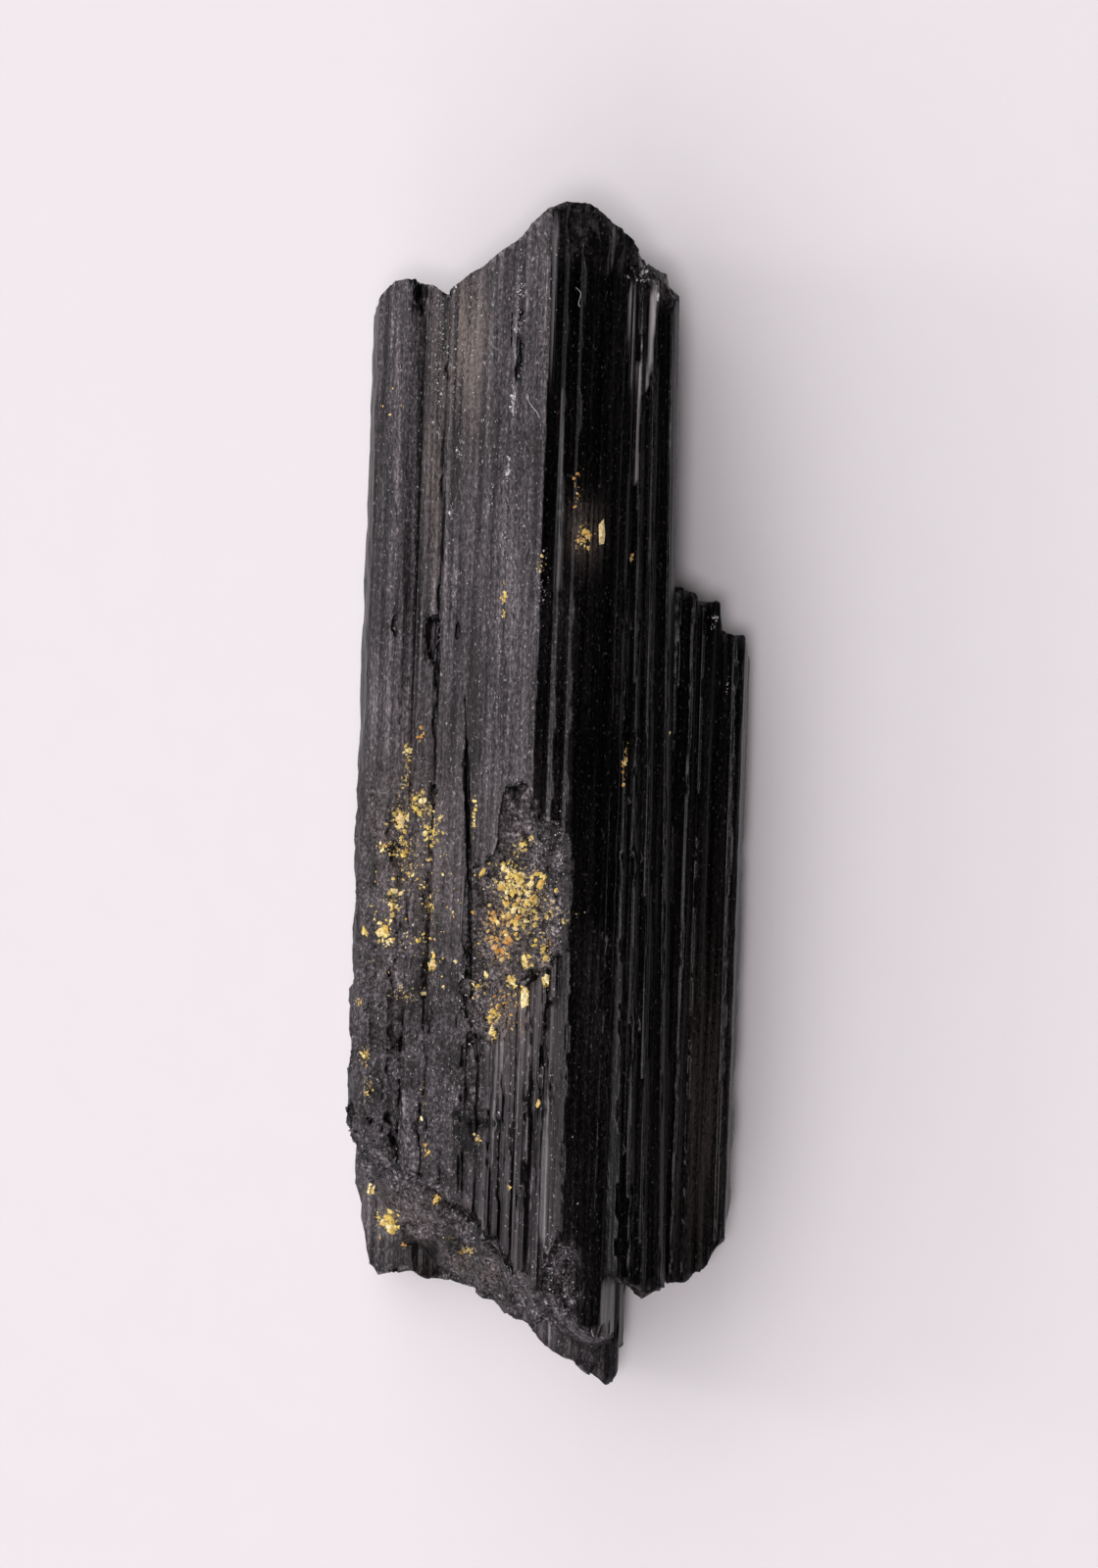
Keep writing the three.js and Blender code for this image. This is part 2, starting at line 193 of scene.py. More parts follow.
# The unbroken faces on both sides of the ridge, as places across the crystal and heights there, and how far
# below them the scar and the split start
RIDGE_X = -1.3
FACE_ACROSS = (-7.4, RIDGE_X, -0.2, 1.3, 2.6)
FACE_HEIGHT = (15.5, 18.0, 17.5, 17.1, 16.3)
SUNK = (0.12, 0.3)
# The scar turns into the split along this line on the plan, within this margin
SPLIT_ACROSS = (-2.5, -1.7, 0.1, 1.1)
SPLIT_ALONG = (-14.8, -11.7, -10.4, -9.6)
SPLIT_MARGIN = (-0.3, 0.3)
# Below these heights the chip is rough and the broken upper end is hackled
CHIP_HEIGHT = 16.7
CHIP_MARGIN = (0, 0.2)
EDGE_HEIGHT = 15.0
EDGE_MARGIN = (0, 3)

# Range of a normal's lean over which a face turns into an upper face, a break or an upright one
LOOKS_UP = (0.1, 0.6)
LOOKS_ALONG = (0.35, 0.7)
NOT_UNDER = (-0.6, 0.0)
# Shares of the full unevenness that the places have
PITTED_LUMPS = 0.8
LEFT_EDGE_LUMPS = 0.5
RIDGE_TOP_CHIPS = 0.7
LUMPY_ROUGH = 0.7
POCKET_ROUGH = 0.9
CALM_ROUGH = 0.8
TIP_CALM = 0.5
SCAR_UNSTRIPED = 0.9
CALM_HACKLES = 0.75
CHIP_HACKLES = 0.7
UNDER_EDGE_HACKLES = 0.3
SCAR_PITS = 0.7
SPLIT_PITS = 0.5
# Range of noise over which pits, nicks and filled grooves start
PIT_RIM = (0.3, 0.7)
NICK_RIM = (0.0, 0.45)
FILLING_RIM = (-0.1, 0.2)
# Range of convexity over which an edge is nicked or rounded, a corner is rubbed down and a groove counts as one
NICKED_EDGE = (0.05, 0.3)
ROUNDED_EDGE = (0.25, 0.5)
WORN_CORNER = (0.4, 0.65)
CORNER_WEAR = 0.18
GROOVE = (0.1, 0.4)
# Heights over which the relief grows from nothing at the floor
RESTING = (0.02, 0.5)
# Shares of dust, and of painted shade: dust and coat taken away so that the pocket, the low corner and the low
# hollow read darker
SHOULDER_DUST = 0.55
FILM_DUST = 0.12
BREAK_DUST = 0.15
LOWER_BREAK_DUST = 0.7
TIP_DUST = 0.75
TIP_SIDE = (-0.8, -0.4)
POCKET_SHADE = 0.4
LOW_CORNER_SHADE = 0.5
LOW_CORNER_COAT_SHADE = 0.6
LOW_HOLLOW_SHADE = 0.85


def smoothstep(values, low, high):
    """0 below low, 1 above high and smooth between, for an array."""
    share = np.clip((values - low) / (high - low), 0, 1)
    return share * share * (3 - 2 * share)


def in_place(points, place):
    """1 inside a place, 0 outside it, smooth across its margin."""
    inside = np.ones(len(points))
    for axis in (0, 1):
        values, low, high = points[:, axis], place.low[axis], place.high[axis]
        inside *= smoothstep(values, low - place.margin, low + place.margin)
        inside *= 1 - smoothstep(values, high - place.margin, high + place.margin)
    return inside


def field(points, kind):
    """Fractal noise of about -1 to 1 at points in millimetres."""
    places = points * np.array(kind.scale) + kind.seed * SEED_SPACING
    return np.array(
        [noise.fractal(place, OCTAVE_FALL, OCTAVE_STEP, kind.octaves) for place in places.tolist()]
    )


def stepped(values, steps):
    """Values with flat treads and short risers, so many steps to a unit."""
    scaled = values * steps
    treads = np.floor(scaled)
    return (treads + smoothstep(scaled - treads, *RISER)) / steps


def bell(points, centre, spread, reach=1.0):
    """1 at a centre on the plan, falling off smoothly with the distance from it."""
    away = (points[:, :2] - centre) / spread / reach
    return np.exp(-0.5 * (away**2).sum(1))


# Crystal

def dice(bm, axis, cell, wanted):
    """Cuts the wanted faces by planes across an axis, one cell apart, and leaves the surface closed."""
    margin = CUT_MARGIN * cell
    waiting = defaultdict(list)

    def queue(face):
        along = [vert.co[axis] for vert in face.verts]
        first = math.floor((min(along) + margin) / cell) + 1
        if first * cell < max(along) - margin:
            waiting[first].append(face)

    for face in bm.faces:
        if wanted(face):
            queue(face)
    normal = Vector((0, 0, 0))
    normal[axis] = 1
    while waiting:
        index = min(waiting)
        plane = index * cell
        faces = [face for face in waiting.pop(index) if face.is_valid]
        edges = {edge for face in faces for edge in face.edges}
        verts = {vert for face in faces for vert in face.verts}
        cut = bmesh.ops.bisect_plane(
            bm,
            geom=[*verts, *edges, *faces],
            dist=ON_CUT,
            plane_co=normal * plane,
            plane_no=normal,
        )
        for face in cut["geom"]:
            if not isinstance(face, bmesh.types.BMFace):
                continue
            if min(vert.co[axis] for vert in face.verts) > plane - margin:
                queue(face)


def diced_crystal():
    """The solid's faces cut into small cells, as a new bmesh."""
    bm = bmesh.new()
    bm.from_mesh(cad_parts[NODE].data)
    bmesh.ops.remove_doubles(bm, verts=bm.verts, dist=SAME_POINT)
    bmesh.ops.dissolve_limit(bm, angle_limit=COPLANAR, verts=bm.verts, edges=bm.edges)
    bm.normal_update()

    def is_hidden(face):
        return face.normal.z < HIDDEN_UP

    def is_break(face):
        return abs(face.normal.y) > BREAK_ALONG

    def is_rough(face):
        if face.normal.z < ROUGH_UP:
            return False
        x, y, _ = face.calc_center_median() / MM
        return any(
            low_x < x < high_x and low_y < y < high_y
            for (low_x, low_y), (high_x, high_y), _ in (SCAR, LUMPY)
        )

    def is_right(face):
        return face.normal.x > RIGHT_ACROSS and not is_break(face)

    def is_top(face):
        return face.normal.z > TOP_UP

    def is_side(face):
        return abs(face.normal.x) > SIDE_ACROSS and not is_hidden(face)

    dice(bm, 1, ROW * MM, lambda face: not is_hidden(face) and not is_right(face))
    dice(bm, 1, RIGHT_ROW * MM, lambda face: not is_hidden(face))
    dice(bm, 1, HIDDEN_ROW * MM, is_hidden)
    dice(bm, 0, COLUMN * MM, is_top)
    dice(bm, 2, COLUMN * MM, is_side)
    dice(bm, 0, BREAK_CELL * MM, is_break)
    dice(bm, 2, BREAK_CELL * MM, is_break)
    dice(bm, 1, ROUGH_ROW * MM, is_rough)
    dice(bm, 0, HIDDEN_CELL * MM, is_hidden)
    bmesh.ops.triangulate(bm, faces=bm.faces)
    bm.normal_update()
    return bm


def convexity(points, normals, edges):
    """Mean slope from each vertex down to its neighbours: above 0 on ridges, below 0 in grooves."""
    total = np.zeros(len(points))
    count = np.zeros(len(points))
    along = points[edges[:, 0]] - points[edges[:, 1]]
    along /= np.linalg.norm(along, axis=1)[:, None]
    for end, way in ((0, 1), (1, -1)):
        here = edges[:, end]
        np.add.at(total, here, way * (along * normals[here]).sum(1))
        np.add.at(count, here, 1)
    return total / count


def along_line(points, start, end):
    """How far along a line on the plan each point is, as a share, and how far away from it."""
    along = np.subtract(end, start)
    from_start = points[:, :2] - start
    share = np.clip(from_start @ along / (along @ along), 0, 1)
    return share, np.linalg.norm(from_start - share[:, None] * along, axis=1)


def cracked(points, normals):
    """Share of open crack at each vertex, 1 along its middle, and how deep it is there."""
    share = np.zeros(len(points))
    depth = np.zeros(len(points))
    ragged = np.maximum(CRACK_LEAST, 1 + CRACK_VARIES * field(points, CRACK_RAGGED))
    for crack in CRACKS:
        for start, end in zip(crack.line, crack.line[1:]):
            _, away = along_line(points, start, end)
            here = 1 - smoothstep(away / ragged, CRACK_FLOOR * crack.half_width, crack.half_width)
            share = np.maximum(share, here)
            depth = np.maximum(depth, here * crack.depth)
    looks_up = smoothstep(normals[:, 2], *CRACK_LOOKS_UP)
    return share * looks_up, depth * looks_up


class Looks(NamedTuple):
    """Shares at each vertex that its material reads: how rough it is, how much dust and painted light it has on
    the left side where it looks towards the light, how coated with dust whichever way it looks, how much of it
    is split into slats and how much is crack, which is painted as shade."""

    rough: np.ndarray
    dust_and_lit_side: np.ndarray
    coated: np.ndarray
    split: np.ndarray
    crevice: np.ndarray


class Zones(NamedTuple):
    """Share of each kind of surface at each vertex, and the depth of cracks there in millimetres."""

    up: np.ndarray
    broken: np.ndarray
    lumpy: np.ndarray
    scar: np.ndarray
    split: np.ndarray
    chipped: np.ndarray
    pocket: np.ndarray
    low_corner: np.ndarray
    tip: np.ndarray
    rough: np.ndarray
    crevice: np.ndarray
    crack_depth: np.ndarray


def find_zones(points, normals):
    """Tells the kinds of surface apart by place, height and the way they look."""
    x, y, z = points.T
    up = smoothstep(normals[:, 2], *LOOKS_UP)
    broken = smoothstep(np.abs(normals[:, 1]), *LOOKS_ALONG)
    lumpy = np.maximum(in_place(points, LUMPY), PITTED_LUMPS * in_place(points, PITTED))
    lumpy *= smoothstep(normals[:, 2], *NOT_UNDER)
    unbroken = np.interp(x, FACE_ACROSS, FACE_HEIGHT)
    sunk = in_place(points, TORN) * up * smoothstep(unbroken - z, *SUNK)
    below = smoothstep(np.interp(x, SPLIT_ACROSS, SPLIT_ALONG) - y, *SPLIT_MARGIN)
    scar, split = sunk * (1 - below), sunk * below
    chipped = np.maximum.reduce([
        in_place(points, CHIPPED) * smoothstep(CHIP_HEIGHT - z, *CHIP_MARGIN),
        in_place(points, CHUNK) * up,
        RIDGE_TOP_CHIPS * in_place(points, RIDGE_TOP) * up,
    ])
    pocket = in_place(points, POCKET) * up
    low_corner, tip = in_place(points, LOW_CORNER), in_place(points, TIP_END)
    rough = np.maximum.reduce([broken, scar, chipped, LUMPY_ROUGH * lumpy, POCKET_ROUGH * pocket])
    rough *= 1 - CALM_ROUGH * np.maximum(low_corner, TIP_CALM * tip)
    crevice, crack_depth = cracked(points, normals)
    return Zones(
        up, broken, lumpy, scar, split, chipped, pocket, low_corner, tip, rough, crevice, crack_depth
    )


def relief(points, standing_out, zones):
    """How far each vertex moves out along its normal, in millimetres."""
    broken, lumpy, scar = zones.broken, zones.lumpy, zones.scar
    split, chipped, pocket = zones.split, zones.chipped, zones.pocket
    upper_end = in_place(points, UPPER_END)
    striped = 1 - np.maximum.reduce([broken, SCAR_UNSTRIPED * scar, chipped])
    calm = np.maximum.reduce([upper_end, zones.low_corner, in_place(points, RIGHT_CORNER), zones.tip])
    hackled = broken * (1 - CALM_HACKLES * calm)
    hackles = stepped(field(points, HACKLES), HACKLE_STEPS)

    height = striped * STRIAE.height * field(points, STRIAE)
    height += striped * TERRACES.height * stepped(field(points, TERRACES), TERRACE_STEPS)
    height += split * SPLIT_RIBS.height * field(points, SPLIT_RIBS)
    height += np.maximum(hackled, CHIP_HACKLES * chipped) * HACKLES.height * hackles
    under_edge = broken * upper_end * smoothstep(EDGE_HEIGHT - points[:, 2], *EDGE_MARGIN)
    height += under_edge * HACKLES.height * np.minimum(hackles - UNDER_EDGE_HACKLES, 0)
    gritty = np.maximum.reduce([hackled, scar, chipped, pocket])
    height += gritty * GRIT.height * field(points, GRIT)
    height += zones.rough * FINE_GRIT.height * field(points, FINE_GRIT)
    lumps = np.maximum(lumpy, LEFT_EDGE_LUMPS * in_place(points, LEFT_EDGE))
    height += lumps * LUMPS.height * field(points, LUMPS)
    pitted = np.maximum.reduce([lumpy, SCAR_PITS * scar, SPLIT_PITS * split, pocket])
    pitted *= smoothstep(field(points, PITS), *PIT_RIM)
    height -= PITS.height * pitted
    nicked = smoothstep(field(points, NICKS), *NICK_RIM)
    height -= NICKS.height * nicked * smoothstep(standing_out, *NICKED_EDGE)
    grooved = smoothstep(-standing_out, *GROOVE)
    height *= 1 - grooved
    filled = np.maximum(split, lumpy) * grooved
    height += filled * FILLING.height * smoothstep(field(points, FILLING), *FILLING_RIM)
    height -= zones.crack_depth
    height -= np.maximum(height, 0) * smoothstep(standing_out, *ROUNDED_EDGE)
    for centre, spread, swell in SWELLINGS:
        height += swell * broken * bell(points, centre, spread)
    height -= CORNER_WEAR * smoothstep(standing_out, *WORN_CORNER)
    return height * smoothstep(points[:, 2], *RESTING)


def find_looks(points, normals, zones):
    """Where dust lies and where it doesn't, added to what the zones already say; the dust on the left side is
    also painted light, and painted shade takes dust and coat away in the pocket, the low corner and the low
    hollow.
    """
    shoulder = in_place(points, SHOULDER)
    dust_and_lit_side = np.maximum.reduce(
        [in_place(points, LEFT_SIDE), zones.scar, zones.split, SHOULDER_DUST * shoulder]
    )
    # Painted shade: the pocket, the low corner and the low hollow lose dust and coat so that they read darker
    painted_shade = np.maximum.reduce([
        POCKET_SHADE * zones.pocket,
        LOW_CORNER_SHADE * zones.low_corner,
        LOW_HOLLOW_SHADE * in_place(points, LOW_HOLLOW),
    ])
    dust_and_lit_side *= 1 - painted_shade
    film = FILM_DUST * np.maximum(shoulder, in_place(points, LOWER_RIGHT))
    break_dust = BREAK_DUST + LOWER_BREAK_DUST * in_place(points, LOWER_END)
    coated = np.maximum(np.maximum(zones.broken, zones.chipped) * break_dust, film * zones.up)
    coated = np.maximum(coated, TIP_DUST * zones.tip * smoothstep(-normals[:, 0], *TIP_SIDE))
    coated *= 1 - np.maximum(painted_shade, LOW_CORNER_COAT_SHADE * zones.low_corner)
    return Looks(zones.rough, dust_and_lit_side, coated, zones.split, zones.crevice)


# Pale wear and painted highlights along the edges: least share, what dust adds, and the ranges over which they
# start
WEAR_LEAST = 0.1
WEAR_IN_DUST = 0.4
WORN_UP = (0.1, 0.4)
WORN_STRETCH = (-0.05, 0.25)
WORN_EDGE = (0.1, 0.35)
# How much a plate narrows, and the soft edge that it has, as shares of its half width
PLATE_TAPER = 0.7
PLATE_EDGE = (0.5, 1.2)


def wear(points, normals, standing_out, dust_and_lit_side):
    """Share of pale wear and painted highlights along the edges, in stretches: most on the left side under dust
    and on the upper slivers, which get painted highlights.
    """
    highlit_slivers = in_place(points, HIGHLIT_SLIVERS) * smoothstep(normals[:, 2], *WORN_UP)
    stretches = smoothstep(field(points, WEAR), *WORN_STRETCH)
    share = np.maximum(WEAR_LEAST + WEAR_IN_DUST * dust_and_lit_side, highlit_slivers)
    return share * stretches * smoothstep(standing_out, *WORN_EDGE)


def plate_highlights(points, normals):
    """How strongly each point shows a painted highlight of a thin plate that catches the light."""
    share = np.zeros(len(points))
    for plate in PLATE_HIGHLIGHTS:
        place, away = along_line(points, plate.start, plate.end)
        half_width = plate.half_width * (1 - PLATE_TAPER * place)
        share = np.maximum(share, plate.strength * (1 - smoothstep(away / half_width, *PLATE_EDGE)))
    return share * smoothstep(normals[:, 2], *WORN_UP)


# Brown stain and dust on the crystal: centre, spread and strength
STAINS = [
    ((-6.3, 28.4), (0.7, 3.2), 0.75),
    ((-7.9, 28.0), (0.45, 3.0), 0.75),
    ((-8.1, 21.0), (0.4, 5.0), 0.55),
    ((-9.0, -4.0), (2.0, 5.0), 0.3),
    ((-2.4, -8.0), (1.6, 4.2), 0.5),
    ((-2.6, -13.4), (1.2, 1.6), 0.5),
    ((-8.2, -27.2), (2.0, 1.2), 0.35),
    ((-3.5, -30.3), (2.2, 0.9), 0.35),
    ((10.2, -20.0), (1.2, 8.0), 0.12),
    ((1.5, 16.8), (0.7, 1.2), 0.4),
]
STAINED_UP = (0.2, 0.5)


def stain(points):
    """Share of brown stain at each point."""
    share = np.zeros(len(points))
    for centre, spread, strength in STAINS:
        share = np.maximum(share, strength * bell(points, centre, spread))
    return share


def make_crystal():
    """The crystal as one fine mesh, with attributes for its material."""
    bm = diced_crystal()
    bm.verts.ensure_lookup_table()
    points = np.array([vert.co for vert in bm.verts]) / MM
    normals = np.array([vert.normal for vert in bm.verts])
    edges = np.array([[vert.index for vert in edge.verts] for edge in bm.edges])
    standing_out = convexity(points, normals, edges)
    zones = find_zones(points, normals)
    height = relief(points, standing_out, zones)
    looks = find_looks(points, normals, zones)
    moved = points + normals * height[:, None]
    moved[:, 2] = np.maximum(moved[:, 2], 0)
    for vert, place in zip(bm.verts, moved * MM):
        vert.co = place
    mesh = bpy.data.meshes.new("crystal")
    bm.to_mesh(mesh)
    bm.free()
    mesh.shade_smooth()
    mesh.set_sharp_from_angle(angle=SHARP_ANGLE)
    crusted, crust_tone = crust(points)
    looks_up = smoothstep(normals[:, 2], *STAINED_UP)
    attributes = {
        **looks._asdict(),
        "worn_and_highlit": wear(points, normals, standing_out, looks.dust_and_lit_side),
        "plate": plate_highlights(points, normals),
        "stain": stain(points) * looks_up,
        "crust": crusted * looks_up,
        "crust_tone": crust_tone,
    }
    for name, values in attributes.items():
        mesh.attributes.new(name, "FLOAT", "POINT").data.foreach_set("value", values.astype(np.float32))
    return add_object("crystal", mesh)


def add_object(name, mesh):
    made = bpy.data.objects.new(name, mesh)
    bpy.context.scene.collection.objects.link(made)
    print(name, "triangles", len(mesh.polygons))
    return made


# Height from which rays look down on the crystal
RAY_START = 1000


class Surface:
    """The crystal's surface, to lay small things on from above."""

    def __init__(self, crystal):
        mesh = crystal.data
        corners = [vert.co for vert in mesh.vertices]
        self.tree = BVHTree.FromPolygons(corners, [list(face.vertices) for face in mesh.polygons])

    def under(self, x, y):
        """Point and normal under a place in millimetres, or None off the crystal."""
        above = Vector((x * MM, y * MM, RAY_START * MM))
        hit, normal, _, _ = self.tree.ray_cast(above, Vector((0, 0, -1)))
        return None if hit is None else (hit, normal)


# Grains

# Tone of pale glitter, grains that are partly mineral specks and partly painted glints; yellow is 0 and orange 1
PALE = -1


class Cluster(NamedTuple):
    """Flecks around a centre: their spread, how many are tried, their largest size and their tone."""

    centre: tuple
    spread: tuple
    count: int
    largest: float
    tone: float


CLUSTERS = [
    # Left prism, from the upper flecks down
    Cluster((-10.8, 24.0), (0.9, 1.2), 12, 0.2, 0.4),
    Cluster((-9.2, 2.3), (0.13, 0.5), 34, 0.34, 0.15),
    Cluster((-8.4, 3.9), (0.12, 0.4), 14, 0.22, 0.8),
    Cluster((-9.2, 0.9), (0.15, 0.2), 12, 0.28, 0.1),
    Cluster((-9.6, -1.6), (0.28, 0.7), 60, 0.4, 0.05),
    Cluster((-8.0, -0.9), (0.35, 0.5), 50, 0.36, 0.1),
    Cluster((-7.4, -2.1), (0.25, 0.5), 46, 0.4, 0.05),
    Cluster((-8.6, -0.4), (0.3, 0.4), 30, 0.3, 0.15),
    Cluster((-9.3, -3.0), (0.6, 0.5), 46, 0.3, 0.1),
    Cluster((-8.7, -4.4), (1.2, 1.4), 150, 0.2, 0.25),
    Cluster((-10.6, -3.3), (0.3, 0.3), 16, 0.24, 0.2),
    Cluster((-9.7, -6.8), (0.2, 0.42), 44, 0.44, 0.05),
    Cluster((-10.3, -8.8), (0.22, 0.45), 48, 0.46, 0.02),
    Cluster((-11.5, -8.8), (0.14, 0.14), 12, 0.32, 0.05),
    Cluster((-7.4, -7.1), (0.16, 0.36), 24, 0.32, 0.1),
    Cluster((-7.8, -9.0), (0.18, 0.22), 18, 0.3, 0.1),
    Cluster((-8.4, -7.8), (1.5, 2.2), 130, 0.17, 0.25),
    Cluster((-7.2, -10.6), (0.14, 0.4), 18, 0.28, 0.15),
    Cluster((-8.4, -12.4), (0.8, 0.4), 40, 0.24, 0.2),
    Cluster((-11.7, -13.3), (0.14, 0.14), 8, 0.26, 0.6),
    Cluster((-11.2, -16.6), (0.14, 0.4), 16, 0.28, 0.3),
    Cluster((-11.0, -18.7), (0.15, 0.4), 18, 0.3, 0.55),
    Cluster((-7.4, -18.9), (0.14, 0.8), 14, 0.2, 0.1),
    Cluster((-7.2, -22.4), (0.1, 0.35), 14, 0.26, 0.6),
    # Scar
    Cluster((-4.8, -1.3), (0.05, 0.6), 26, 0.2, 0.0),
    Cluster((-1.7, -2.9), (0.4, 0.3), 36, 0.26, 0.05),
    Cluster((-2.0, -5.3), (0.9, 0.7), 190, 0.36, 0.05),
    Cluster((-1.3, -7.0), (1.1, 0.8), 190, 0.3, 0.1),
    Cluster((-3.0, -8.2), (0.6, 0.9), 190, 0.32, 0.7),
    Cluster((-2.2, -9.6), (1.2, 0.9), 130, 0.22, 0.35),
    Cluster((-1.3, -10.3), (0.14, 0.4), 24, 0.34, 0.05),
    Cluster((-0.1, -9.6), (0.2, 0.4), 22, 0.3, 0.05),
    Cluster((-2.1, -11.4), (0.25, 0.25), 24, 0.34, 0.05),
    Cluster((-1.3, -12.4), (0.16, 0.4), 26, 0.4, 0.0),
    Cluster((0.0, -11.3), (0.16, 0.25), 16, 0.32, 0.05),
    Cluster((-4.0, -11.9), (0.35, 0.4), 26, 0.28, 0.15),
    Cluster((-3.1, -13.7), (0.2, 0.4), 24, 0.3, 0.3),
    Cluster((-3.1, -14.8), (0.2, 0.25), 18, 0.28, 0.3),
    Cluster((-2.4, -13.2), (0.7, 0.9), 70, 0.2, 0.7),
    # Below the scar, and the lower break
    Cluster((-0.2, -19.0), (0.07, 0.2), 8, 0.24, 0.2),
    Cluster((-3.9, -21.5), (0.12, 0.2), 10, 0.26, 0.05),
    Cluster((-1.8, -24.5), (0.15, 0.15), 6, 0.2, 0.2),
    Cluster((-6.4, -25.6), (0.12, 0.25), 12, 0.32, 0.4),
    Cluster((-9.7, -27.7), (0.42, 0.42), 70, 0.46, 0.05),
    Cluster((-10.6, -25.8), (0.3, 0.3), 16, 0.26, 0.1),
    Cluster((-8.6, -29.2), (0.1, 0.1), 6, 0.28, 0.8),
    Cluster((-5.6, -28.5), (0.2, 0.1), 12, 0.24, 0.15),
    Cluster((-4.6, -29.3), (0.35, 0.14), 18, 0.26, 0.1),
    # Middle prism's left face, ridge and right face
    Cluster((-3.4, 12.8), (0.08, 0.4), 20, 0.28, 0.15),
    Cluster((-3.4, 11.5), (0.08, 0.15), 6, 0.22, 0.2),
    Cluster((-1.2, 14.7), (0.16, 0.2), 16, 0.3, 0.0),
    Cluster((1.4, 16.6), (0.28, 0.4), 40, 0.3, 0.5),
    Cluster((1.0, 19.6), (0.2, 0.7), 26, 0.22, 0.8),
    Cluster((2.5, 16.8), (0.1, 0.5), 12, 0.22, 0.4),
    Cluster((4.5, 15.5), (0.05, 0.15), 6, 0.24, 0.8),
    Cluster((4.6, 3.0), (0.05, 0.5), 16, 0.22, 0.3),
    Cluster((4.5, 1.7), (0.05, 0.4), 14, 0.2, 0.9),
    Cluster((7.3, 4.4), (0.05, 0.08), 3, 0.2, 0.2),
    # Pale glitter, partly painted glints, in the scar, the split, the lower break, the ridge's nicks and the
    # upper slivers
    Cluster((-0.4, -2.6), (0.9, 0.9), 140, 0.13, PALE),
    Cluster((0.2, -6.5), (0.6, 2.4), 130, 0.12, PALE),
    Cluster((-3.6, -5.4), (0.7, 1.2), 70, 0.1, PALE),
    Cluster((-3.4, -12.6), (1.0, 1.6), 110, 0.16, PALE),
    Cluster((-9.0, -5.0), (1.4, 4.0), 150, 0.13, PALE),
    Cluster((-9.0, -15.0), (1.6, 4.0), 120, 0.12, PALE),
    Cluster((-5.4, -18.0), (0.8, 4.0), 110, 0.12, PALE),
    Cluster((-1.0, -20.0), (1.2, 5.0), 120, 0.11, PALE),
    Cluster((1.2, -30.0), (0.9, 1.6), 150, 0.16, PALE),
    Cluster((-1.5, -31.0), (2.0, 1.2), 90, 0.12, PALE),
    Cluster((-1.1, 13.2), (0.25, 1.2), 80, 0.16, PALE),
    Cluster((-1.0, 33.0), (0.12, 1.6), 40, 0.12, PALE),
    Cluster((4.5, 33.4), (0.35, 0.3), 34, 0.34, PALE),
    Cluster((-7.8, 28.0), (0.35, 2.4), 200, 0.14, PALE),
    Cluster((-6.2, 28.0), (0.6, 2.8), 220, 0.12, PALE),
    # Pale dashes on the middle prism's left face
    Cluster((-3.3, 24.8), (0.08, 0.5), 70, 0.2, PALE),
    Cluster((-3.45, 20.6), (0.08, 0.4), 64, 0.2, PALE),
    Cluster((-6.5, 22.0), (0.12, 0.5), 50, 0.17, PALE),
    Cluster((-4.4, 18.9), (0.1, 0.6), 30, 0.12, PALE),
    Cluster((-6.9, 18.0), (0.1, 0.25), 34, 0.18, PALE),
    Cluster((-3.5, 16.6), (0.08, 1.0), 46, 0.12, PALE),
    Cluster((-3.6, 8.0), (0.1, 3.0), 60, 0.1, PALE),
    Cluster((-3.1, 32.2), (0.12, 1.6), 110, 0.13, PALE),
    Cluster((-3.1, 29.6), (0.1, 0.4), 44, 0.17, PALE),
    # Painted glints, as pale grains, on the right prism's upper corner
    Cluster((10.05, 12.0), (0.12, 0.1), 12, 0.2, PALE),
    Cluster((10.05, 11.4), (0.12, 0.08), 10, 0.16, PALE),
    Cluster((11.04, 7.8), (0.05, 0.35), 14, 0.16, PALE),
]


class Shard(NamedTuple):
    """A single thin plate: centre, width, length and tone."""

    centre: tuple
    width: float
    length: float
    tone: float


SHARDS = [
    # The two pale shards on the upper chunk are painted glints
    Shard((5.6, 32.2), 0.3, 0.7, PALE),
    Shard((4.6, 33.6), 0.5, 0.8, PALE),
    Shard((-1.33, -12.4), 0.6, 1.5, 0.0),
    Shard((0.0, -11.3), 0.5, 0.8, 0.0),
    Shard((2.52, 16.8), 0.5, 1.7, 0.3),
]
# Grains stay where this noise is above a limit, so that they clump
CLUMPING = Relief((1.2, 1.2, 1.2), 11, 3)
CLUMP_ABOVE = -0.06
# Sizes as a share of the largest, most of them small
GRAIN_LEAST = 0.25
GRAIN_SKEW = 2.2
PALE_SIZE = 0.8
TONE_SPREAD = 0.22
GRAIN_STRETCH = (0.6, 1.8)
# Grain area per area of a cluster that gives a full crust, and how far it reaches past the grains
CRUST_FULL = 18
CRUST_REACH = 1.3
# Single pale specks in streaks all over, most on the lit left side: dust crumbs and painted sparkle
SPECK_COUNT = 2200
SPECK_SIZE = 0.04
SPECK_LEAST = 0.5
SPECK_VARIES = 1.5
SPECK_SKEW = 3
SPECK_STRETCH = (0.8, 2)
SPECK_ABOVE = 0.12
SPECK_STREAKS = Relief((0.9, 0.12, 0.9), 13, 2)
SPECKS_ON_RIGHT = 0.25
# Shape of one crumb, and how deep it sits
FLATNESS = (0.35, 0.7)
JAGGED = (0.4, 1.4)
GRAIN_SINK = 0.25


